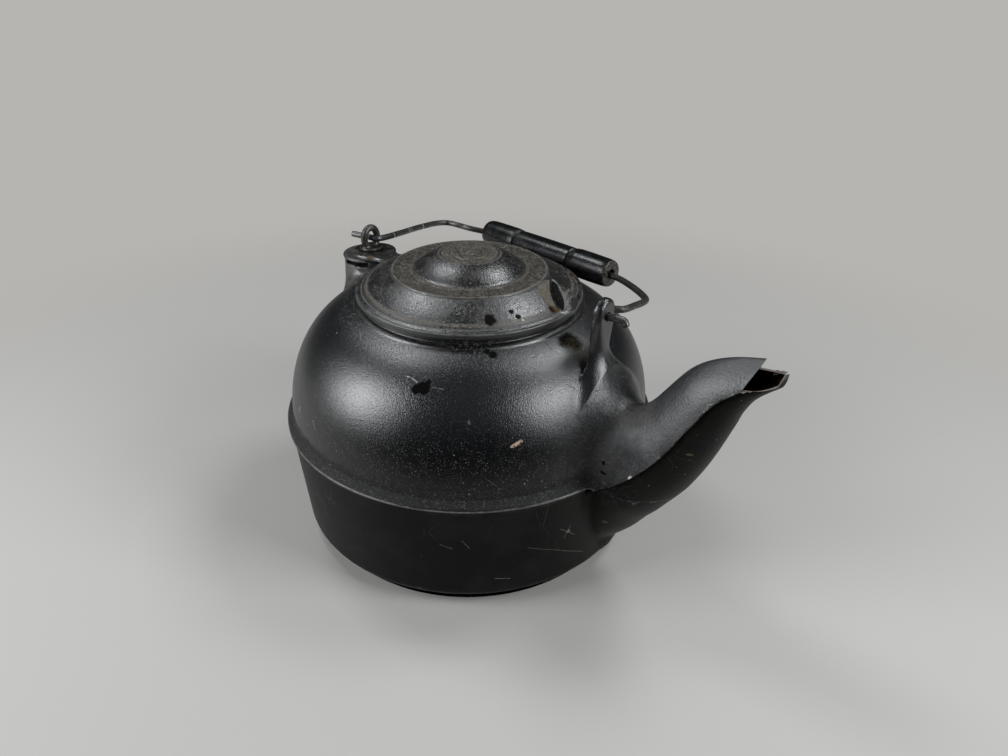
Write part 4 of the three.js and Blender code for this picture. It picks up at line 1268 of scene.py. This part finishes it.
def mouth_side(c):
    """1 on the surfaces of the spout's bore at the mouth, which face its middle."""
    inward = c.vector("DOT_PRODUCT", c.normal, (0, 1, 0))
    inward = c.product(inward, c.smooth(c.y, 0.5, -0.5))
    far = c.product(c.vector("DOT_PRODUCT", c.normal, (0, -1, 0)), c.smooth(c.y, -0.5, 0.5))
    sides = c.smooth(c.math("MAXIMUM", inward, far), 0.12, 0.3)
    up = c.vector("DOT_PRODUCT", c.normal, (0, 0, 1))
    floor_part = c.product(c.smooth(up, 0.0, 0.3), c.smooth(mouth_rim(c), -0.15, -0.4))
    roof_part = c.product(c.smooth(up, 0.0, -0.3), c.smooth(mouth_rim(c), 0.5, 1.0))
    return c.math("MAXIMUM", sides, c.math("MAXIMUM", floor_part, roof_part), clamp=True)


def seam_side(c):
    """About zero on the spout's seam, and rising below it, in millimetres."""
    return c.math("SUBTRACT", height_curve(c, SEAM_CURVE, SEAM_BASE, SEAM_SPAN), c.z)


# The spout's seam, as x and z along it
SEAM_BASE, SEAM_SPAN = 80.0, 110.0
seam_line = spout.middle - spout.up * spout.seam[:, None]
SEAM_CURVE = [tuple(point) for point in seam_line[::16] if 112 < point[0] < 206]

PALE, DARK = (0.2, 0.19, 0.165), (0.002, 0.002, 0.002)
IRON_SPOTS = [
    ((43.2, -87.1, 147.0), 4.6, (1, 1, 1), DARK, 0.75),
    ((40.5, -89.5, 145.5), 3.0, (1, 1, 1), DARK, 0.75),
    ((44.5, -84.0, 149.6), 2.2, (1.6, 1, 0.7), DARK, 0.75),
    ((-43.0, -110.5, 108.0), 1.5, (1, 1, 0.6), PALE, 0.7),
    ((72.1, -81.6, 133.3), 1.0, (1.4, 1.4, 0.5), (0.12, 0.12, 0.11), 0.7),
    ((61.3, -49.0, 158.2), 3.0, (1, 1, 1), (0.003, 0.003, 0.003), 0.6),
    ((57.6, -49.9, 159.2), 2.0, (1, 1, 1), (0.005, 0.005, 0.005), 0.5),
    ((127.7, -29.6, 104.0), 1.3, (1, 1, 1), DARK, 0.8),
    ((129.1, -30.8, 98.3), 1.3, (0.6, 0.6, 1.6), DARK, 0.8),
    ((114.5, -39.5, 51.6), 1.4, (1, 1, 1), PALE, 0.8),
    ((128.6, -21.2, 55.0), 1.8, (1, 1, 1), (0.11, 0.10, 0.075), 0.8),
    ((148.1, -25.1, 82.3), 1.5, (1, 1, 1.6), (0.10, 0.10, 0.08), 0.8),
    ((145.5, -28.6, 101.4), 1.4, (1, 1, 1), (0.7, 0.69, 0.66), 0.7),
    ((172.5, -16.7, 123.9), 1.4, (0.6, 1, 1.6), (0.09, 0.085, 0.06), 0.8),
    ((51.2, -105.1, 13.3), 2.2, (1, 1, 1.5), (0.10, 0.10, 0.085), 0.7),
    ((-4.5, -118.5, 71.0), 1.8, (1, 1, 1), (0.05, 0.03, 0.02), 0.7),
    ((194.0, -6.0, 166.0), 1.2, (1, 1, 1), (0.3, 0.22, 0.18), 0.8),
]
IRON_SCRATCHES = [
    ((31.5, -88.5, 150.3), (35.0, -87.6, 150.3), 0.5, (0.45, 0.44, 0.40)),
    ((35.0, -87.6, 150.3), (39.0, -87.3, 148.4), 0.5, (0.40, 0.39, 0.36)),
    ((48.0, -84.3, 147.6), (53.5, -81.5, 147.2), 0.35, (0.15, 0.145, 0.13)),
    ((-22.5, -115.6, 111.0), (-19.5, -117.0, 106.5), 0.55, PALE),
    ((92.2, -69.3, 120.2), (93.6, -66.4, 121.4), 0.9, (0.60, 0.50, 0.42)),
    ((92.8, -68.2, 120.5), (94.7, -64.2, 122.2), 1.4, (0.66, 0.50, 0.38)),
    ((94.0, -66.0, 120.4), (94.7, -64.4, 121.2), 0.7, (0.30, 0.13, 0.06)),
    ((102.5, -63.9, 48.3), (110.9, -46.2, 39.1), 0.3, (0.07, 0.067, 0.056)),
    ((110.9, -46.2, 39.1), (117.0, -22.9, 24.9), 0.3, (0.11, 0.105, 0.09)),
    ((111.8, -45.0, 56.3), (116.0, -34.0, 46.0), 0.3, (0.10, 0.10, 0.085)),
    ((113.0, -41.5, 47.0), (114.3, -38.0, 56.5), 0.3, (0.08, 0.08, 0.07)),
    ((77.0, -94.0, 59.6), (80.2, -90.7, 53.0), 0.35, (0.085, 0.08, 0.07)),
    ((66.5, -101.5, 55.5), (72.0, -97.2, 52.7), 0.4, (0.075, 0.07, 0.062)),
    ((89.6, -78.7, 25.8), (95.3, -71.3, 23.9), 0.4, (0.13, 0.13, 0.115)),
    ((85.8, -83.5, 103.5), (90.5, -79.5, 98.0), 0.3, (0.10, 0.095, 0.085)),
    ((-26.0, -114.5, 57.0), (-15.0, -116.0, 46.0), 0.35, (0.07, 0.07, 0.06)),
    ((110.7, -41.2, 111.1), (113.8, -43.4, 87.6), 0.9, DARK),
    ((74.6, -17.9, 158.9), (80.7, -19.2, 156.3), 0.5, (0.003, 0.003, 0.003)),
    ((105.6, -11.5, 139.0), (106.2, -12.6, 133.5), 0.4, (0.25, 0.25, 0.22)),
]


def lid_material():
    """The lid: satin on its dome and slope, with brown dust lying in the flats and grooves."""
    c = Coats("lid_iron", (0.0022, 0.0023, 0.0027), 0.26, specular=1.0, index=IRON_INDEX)
    c.coat(c.noise(2.8, 2.0, 0.6), height=0.16)
    c.coat(c.noise(1.0, 2.0, 0.65), height=0.20)
    c.coat(c.patches(20.0, 0.35, 0.7, 3.0, 0.5), roughness=0.35)
    fine = c.noise(1.2, 3.0, 0.85)
    cloud = c.noise(9.0, 4.0, 0.65)

    # Dust on the flat ring and on the boss, and pale dust with painted shade along the rings' edges
    flat_ring = c.between(c.radius, DRUM_RADIUS + 0.5, SLOPE_RADIUS - 1.0, 1.2)
    c.coat((flat_ring, c.smooth(cloud, 0.28, 0.5)), color=(0.014, 0.0128, 0.0098), roughness=0.58,
           specular=0.4)
    c.coat((flat_ring, c.smooth(fine, 0.5, 0.55)), color=(0.20, 0.18, 0.14), roughness=0.8, height=0.12)
    boss = c.smooth(c.radius, BOSS_RADIUS + 2.0, BOSS_RADIUS - 1.0)
    c.coat((boss, c.smooth(cloud, 0.3, 0.6)), color=(0.015, 0.0135, 0.0105), roughness=0.6, specular=0.4)
    c.coat((boss, c.smooth(fine, 0.49, 0.54)), color=(0.24, 0.21, 0.16), roughness=0.8, height=0.12)
    for ring, width, ring_color in LID_DUST_AND_SHADE_RINGS:
        band = c.between(c.radius, ring - width / 2, ring + width / 2, width * 0.4)
        c.coat((band, c.smooth(fine, 0.38, 0.55)), color=ring_color, roughness=0.8)
    upper = c.product(c.smooth(c.z, LID_SEAT + 1.0, LID_SEAT + 3.0), c.smooth(fine, 0.53, 0.6))
    c.coat((upper, c.smooth(cloud, 0.36, 0.6)), color=(0.085, 0.076, 0.060), roughness=0.75)
    c.coat(c.specks(1.7, 0.42, 0.6), color=(0.17, 0.15, 0.12), roughness=0.8)
    c.coat(c.specks(4.5, 0.6, 0.5), color=(0.26, 0.22, 0.16), roughness=0.8)
    c.coat(c.specks(2.9, 0.7, 0.45), color=(0.001, 0.001, 0.001), roughness=0.7, specular=0.05)
    c.coat((c.lines(18.0, 0.004), c.patches(16.0, 0.5, 0.6, rough=0.5)), color=(0.05, 0.048, 0.043))

    # Rim
    rim = c.smooth(c.z, RIM_TOP + 0.4, RIM_TOP - 0.4)
    c.coat(rim, color=(0.006, 0.006, 0.0062), roughness=0.5)
    corner = c.product(c.smooth(c.radius, LID_RADIUS - 1.3, LID_RADIUS - 0.5),
                       c.between(c.z, RIM_TOP - 0.7, RIM_TOP + 0.4, 0.3))
    c.coat((corner, c.smooth(cloud, 0.42, 0.55)), color=(0.055, 0.055, 0.052), roughness=0.5)

    for place, radius, squash, color, roughness in LID_SPOTS:
        c.coat(c.near(place, radius, 0.45, squash), color=color, roughness=roughness, specular=0.1)

    # Inside of the finger catch
    away = c.vector("LENGTH", c.vector("SUBTRACT", c.place, tuple(catch_origin)))
    across = catch_across(c)
    hollow = c.product(c.smooth(away, 14.0, 11.0), c.smooth(across, 0.4, -0.8))
    c.coat(hollow, color=(0.055, 0.042, 0.024), roughness=0.8)
    c.coat((hollow, c.patches(1.8, 0.45, 0.6)), color=(0.15, 0.115, 0.065))
    # Painted shade: the face under the hood's arched edge is near black, flecked with paler dust.
    face = c.product(c.smooth(away, 14.5, 12.5), c.between(across, -1.6, 1.6, 0.5),
                     c.smooth(catch_height(c), 3.4, 2.6))
    c.coat(face, color=DARK, roughness=0.7, specular=0.15)
    c.coat((face, c.noise(1.8, 3.0, 0.7)), height=0.6)
    c.coat((face, c.patches(1.2, 0.56, 0.64)), color=(0.07, 0.07, 0.068))
    # Painted highlight: a pale line along the hood's arched edge.
    edge = c.product(c.between(hood_share(c), 0.93, 1.06, 0.03), c.between(across, -0.2, 1.5, 0.4),
                     c.smooth(catch_height(c), 0.6, 1.4))
    c.coat(edge, color=(0.22, 0.215, 0.20), roughness=0.5, specular=0.6)

    # Underside
    under = c.product(c.smooth(c.vector("DOT_PRODUCT", c.normal, (0, 0, 1)), -0.15, -0.3),
                      c.smooth(c.radius, FLANGE_RADIUS - 1.0, FLANGE_RADIUS - 3.0))
    c.coat(under, color=(0.03, 0.018, 0.011), roughness=0.85)
    c.coat((under, c.smooth(cloud, 0.45, 0.65)), color=(0.09, 0.042, 0.018))
    return c.done()


def catch_along(c, axis):
    """Distance from the finger catch's origin along one of its axes."""
    offset = c.vector("SUBTRACT", c.place, tuple(catch_origin))
    return c.vector("DOT_PRODUCT", offset, tuple(catch_axes[:, axis]))


def catch_height(c):
    """Height over the lid's slope at the finger catch."""
    return catch_along(c, 2)


def hood_share(c):
    """Size of the hood-shaped shell that a place lies on, 1 on the hood itself."""
    local = c.new("ShaderNodeCombineXYZ")
    for i in range(3):
        along = c.math("SUBTRACT", catch_along(c, i), HOOD_CENTRE[i])
        c.put(local.inputs[i], c.math("DIVIDE", along, HOOD_HALF[i]))
    return c.vector("LENGTH", local.outputs[0])


def catch_across(c):
    """Distance behind the finger catch's arched edge, negative in front of it."""
    return catch_along(c, 1)


# Rings on the lid as radius, width and colour: the pale ones are dust, and the near-black ones are
# painted shade in the grooves and at the steps.
LID_DUST_AND_SHADE_RINGS = [
    (BOSS_RADIUS - 1.9, 0.9, (0.16, 0.14, 0.11)),
    (BOSS_RADIUS + 0.6, 0.8, (0.12, 0.105, 0.08)),
    (BOSS_RADIUS - 0.7, 0.9, (0.004, 0.004, 0.004)),
    (DRUM_RADIUS + 1.5, 1.3, (0.17, 0.15, 0.115)),
    (SLOPE_RADIUS - 0.3, 0.9, (0.20, 0.17, 0.13)),
    (SLOPE_RADIUS + 0.8, 0.9, (0.004, 0.004, 0.004)),
    (FLANGE_RADIUS + 0.8, 1.0, (0.003, 0.003, 0.003)),
    (FLANGE_RADIUS - 1.2, 1.8, (0.11, 0.09, 0.06)),
    (FLANGE_RADIUS + 2.0, 0.7, (0.09, 0.085, 0.075)),
    (BUTTON_RADIUS + 0.5, 0.9, (0.006, 0.006, 0.005)),
]
LID_SPOTS = [
    ((50.1, -38.7, 172.8), 3.6, (1, 1, 0.6), (0.001, 0.001, 0.001), 0.85),
    ((54.7, -25.3, 174.6), 1.5, (1, 1, 1), DARK, 0.8),
    ((59.1, -24.2, 172.4), 1.7, (1, 1, 1), (0.003, 0.003, 0.003), 0.8),
    ((62.0, -23.2, 171.0), 0.9, (1, 1, 1), (0.55, 0.53, 0.5), 0.8),
    ((66.0, 0.0, 170.9), 2.6, (1, 1, 1), (0.028, 0.010, 0.005), 0.85),
    ((66.5, 4.5, 170.8), 3.0, (1, 1, 1), (0.13, 0.075, 0.035), 0.85),
    ((41.5, 55.9, 169.5), 2.4, (1, 1, 1), (0.055, 0.022, 0.010), 0.8),
    ((33.0, 61.0, 169.5), 2.0, (1, 1, 1), (0.050, 0.022, 0.012), 0.8),
    ((24.4, 65.9, 169.3), 1.8, (1, 1, 1), (0.045, 0.020, 0.010), 0.8),
    ((-82.8, -12.1, 169.6), 2.4, (1, 1, 1), (0.11, 0.085, 0.055), 0.7),
    ((-101.0, -11.0, 169.6), 2.6, (1, 1, 1), (0.10, 0.08, 0.055), 0.7),
]


def steel_material(name, color, roughness):
    """Dark old steel, lighter where it was rubbed."""
    c = Coats(name, color, roughness, specular=0.8, metallic=0.8)
    c.coat(c.noise(1.6, 4.0, 0.6), height=0.10)
    c.coat(c.patches(7.0, 0.42, 0.65, 3.0, 0.65), color=(0.05, 0.04, 0.03), roughness=0.55)
    c.coat(c.patches(1.3, 0.58, 0.7), color=(0.20, 0.18, 0.155), roughness=0.5)
    for start, end in WIRE_RUBS:
        band = c.between(c.y, start, end, 0.2)
        c.coat((band, c.smooth(c.x, -80.0, -84.0), c.patches(1.0, 0.35, 0.5, 2.0, 0.5)),
               color=(0.55, 0.54, 0.5), roughness=0.4)
    return c.done()


WIRE_RUBS = [(17.5, 18.8), (37.0, 38.2), (40.0, 41.0), (55.0, 56.6)]


def grip_material():
    """Black lacquer over turned wood, chipped at the grooves and ends."""
    c = Coats("grip_wood", (0.0025, 0.0025, 0.0028), 0.26, specular=0.6)
    c.coat(c.noise(2.4, 3.0, 0.5, (0.12, 1, 1)), height=0.10)
    c.coat(c.noise(5.0, 3.0, 0.6), height=0.12)
    c.coat(c.patches(12.0, 0.4, 0.7, 3.0, 0.6), roughness=0.42)
    c.coat(c.smooth(c.noise(0.9, 3.0, 0.7, (0.2, 1, 1)), 0.6, 0.72), color=(0.014, 0.013, 0.012),
           roughness=0.5)
    along = c.vector("DOT_PRODUCT", c.vector("SUBTRACT", c.place, tuple(GRIP_MIDDLE)), tuple(GRIP_ALONG))
    half, groove = GRIP_LENGTH / 2, GRIP_GROOVE
    away = c.math("ABSOLUTE", along)
    cut = c.between(away, groove - 1.3, groove + 1.3, 0.8)
    c.coat(cut, color=(0.003, 0.0027, 0.0025), roughness=0.5)
    chips = c.patches(1.6, 0.56, 0.64)
    c.coat((c.between(away, groove + 0.8, groove + 3.0, 0.7), chips), color=(0.07, 0.055, 0.04),
           roughness=0.6)
    c.coat((c.smooth(away, half - 1.6, half - 0.4), c.patches(1.8, 0.46, 0.6)),
           color=(0.10, 0.085, 0.065), roughness=0.6)
    c.coat((c.lines(14.0, 0.004, (0.4, 1, 1)), c.patches(15.0, 0.48, 0.58, rough=0.5)),
           color=(0.03, 0.029, 0.027), roughness=0.5)
    return c.done()


finished(kettle_casting(), iron_material(), "base", "body_iron", "body_pan", "body_globe",
         "spout_upper", "spout_lower", "rear_post", "front_ear")
finished(lid_casting(), lid_material(), "lid", "lid_iron", "lid")
bolt_steel = steel_material("bolt_steel", (0.13, 0.127, 0.12), 0.42)
finished(eye_bolt(), bolt_steel, "base", "bolt_steel", "eye_bolt")
finished(bail_wire(), steel_material("bail_steel", (0.12, 0.12, 0.122), 0.38), "bail", "bail_steel",
         "bail_wire")
finished(grip(), grip_material(), "grip", "grip_wood", "grip")
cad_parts["eye_bolt_nut"].data.materials.clear()
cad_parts["eye_bolt_nut"].data.materials.append(bolt_steel)


# Stage: floor, light and camera

def floor():
    """A pale table top, with its front edge out of sight below the picture."""
    towards_camera = Vector((math.sin(VIEW_AZIMUTH), -math.cos(VIEW_AZIMUTH), 0))
    across = Vector((0, 0, 1)).cross(towards_camera)
    places = ((-1, FLOOR_FRONT), (1, FLOOR_FRONT), (1, -FLOOR_REACH), (-1, -FLOOR_REACH))
    corners = [side * across * FLOOR_REACH + depth * towards_camera for side, depth in places]
    plane = mesh_object("floor", [tuple(corner) for corner in corners], [[0, 1, 2, 3]])
    material = bpy.data.materials.new("floor")
    material.use_nodes = True
    nodes, links = material.node_tree.nodes, material.node_tree.links
    nodes["Principled BSDF"].inputs["Base Color"].default_value = (*FLOOR_COLOR, 1)
    nodes["Principled BSDF"].inputs["Roughness"].default_value = FLOOR_ROUGHNESS
    away = nodes.new("ShaderNodeVectorMath")
    away.operation = "LENGTH"
    links.new(nodes.new("ShaderNodeTexCoord").outputs["Object"], away.inputs[0])
    share = nodes.new("ShaderNodeMapRange")
    share.interpolation_type = "SMOOTHSTEP"
    share.inputs["From Min"].default_value, share.inputs["From Max"].default_value = FLOOR_FADE
    links.new(away.outputs["Value"], share.inputs["Value"])
    seen = nodes.new("ShaderNodeMath")
    seen.operation = "MULTIPLY"
    links.new(share.outputs["Result"], seen.inputs[0])
    links.new(nodes.new("ShaderNodeLightPath").outputs["Is Camera Ray"], seen.inputs[1])
    pale = nodes.new("ShaderNodeEmission")
    pale.inputs["Color"].default_value = (*PALE_ROOM, 1)
    mix = nodes.new("ShaderNodeMixShader")
    links.new(seen.outputs[0], mix.inputs["Fac"])
    links.new(nodes["Principled BSDF"].outputs[0], mix.inputs[1])
    links.new(pale.outputs[0], mix.inputs[2])
    links.new(mix.outputs[0], nodes["Material Output"].inputs["Surface"])
    plane.data.materials.append(material)


def softbox(name, direction, distance, size, radiance):
    """A soft lamp in a direction from the middle of the kettle, facing it."""
    data = bpy.data.lights.new(name, "AREA")
    data.shape = "RECTANGLE"
    data.size, data.size_y = size[0] * MM, size[1] * MM
    data.energy = radiance * math.pi * data.size * data.size_y
    data.color = LAMP_COLOR
    lamp = bpy.data.objects.new(name, data)
    bpy.context.scene.collection.objects.link(lamp)
    target = Vector(KETTLE_MIDDLE) * MM
    lamp.location = target + Vector(direction).normalized() * distance * MM
    lamp.rotation_euler = (target - lamp.location).to_track_quat("-Z", "Y").to_euler()


def camera():
    """The camera that the photograph was taken with, as solved on the kettle's own outlines."""
    data = bpy.data.cameras.new("camera")
    data.sensor_width = SENSOR_WIDTH
    data.lens = LENS
    data.clip_start = 0.01
    obj = bpy.data.objects.new("camera", data)
    bpy.context.scene.collection.objects.link(obj)
    azimuth, down, roll = VIEW_AZIMUTH, CAMERA_DOWN, CAMERA_ROLL
    forward = Vector((-math.sin(azimuth) * math.cos(down), math.cos(azimuth) * math.cos(down),
                      -math.sin(down)))
    right = Vector((math.cos(azimuth), math.sin(azimuth), 0))
    up = right.cross(forward)
    turned_right = math.cos(roll) * right + math.sin(roll) * up
    turned_up = math.cos(roll) * up - math.sin(roll) * right
    rows = [(turned_right[i], turned_up[i], -forward[i], CAMERA_PLACE[i] * MM) for i in range(3)]
    obj.matrix_world = Matrix((*rows, (0, 0, 0, 1)))
    bpy.context.scene.camera = obj


def backdrop():
    """A pale surround to the camera, and a dim room to everything else."""
    world = bpy.data.worlds.new("world")
    world.use_nodes = True
    nodes, links = world.node_tree.nodes, world.node_tree.links
    room = nodes["Background"]
    room.inputs["Color"].default_value = (*DIM_ROOM, 1)
    room.inputs["Strength"].default_value = DIM_STRENGTH
    pale = nodes.new("ShaderNodeBackground")
    pale.inputs["Color"].default_value = (*PALE_ROOM, 1)
    path = nodes.new("ShaderNodeLightPath")
    mix = nodes.new("ShaderNodeMixShader")
    links.new(path.outputs["Is Camera Ray"], mix.inputs["Fac"])
    links.new(room.outputs[0], mix.inputs[1])
    links.new(pale.outputs[0], mix.inputs[2])
    links.new(mix.outputs[0], nodes["World Output"].inputs["Surface"])
    bpy.context.scene.world = world


KETTLE_MIDDLE = (30, 0, 100)
VIEW_AZIMUTH = math.radians(39.0)
CAMERA_PLACE, CAMERA_DOWN, CAMERA_ROLL = (294.4, -326.6, 353.0), math.radians(30.05), math.radians(1.09)
LENS, SENSOR_WIDTH = 26.0, 36
FLOOR_REACH, FLOOR_FRONT, FLOOR_FADE = 5000, 330.0, (0.25, 0.75)
FLOOR_COLOR, FLOOR_ROUGHNESS = (0.64, 0.625, 0.595), 0.7
PALE_ROOM = (0.47, 0.462, 0.445)
DIM_ROOM, DIM_STRENGTH = (0.9, 0.95, 1.0), 0.03
LAMP_COLOR = (0.95, 0.975, 1.0)
LAMPS = [
    ("left_box", (-0.49, -0.78, 0.39), 1100, (500, 700), 6.7),
    ("right_box", (0.86, 0.19, 0.47), 1100, (480, 640), 7.1),
    ("top_left_box", (-0.53, -0.02, 0.85), 1300, (340, 340), 8.6),
    ("top_back_box", (0.22, 0.46, 0.86), 1300, (420, 340), 8.4),
]
floor()
for lamp in LAMPS:
    softbox(*lamp)
camera()
backdrop()
bpy.context.scene.view_settings.view_transform = "Standard"
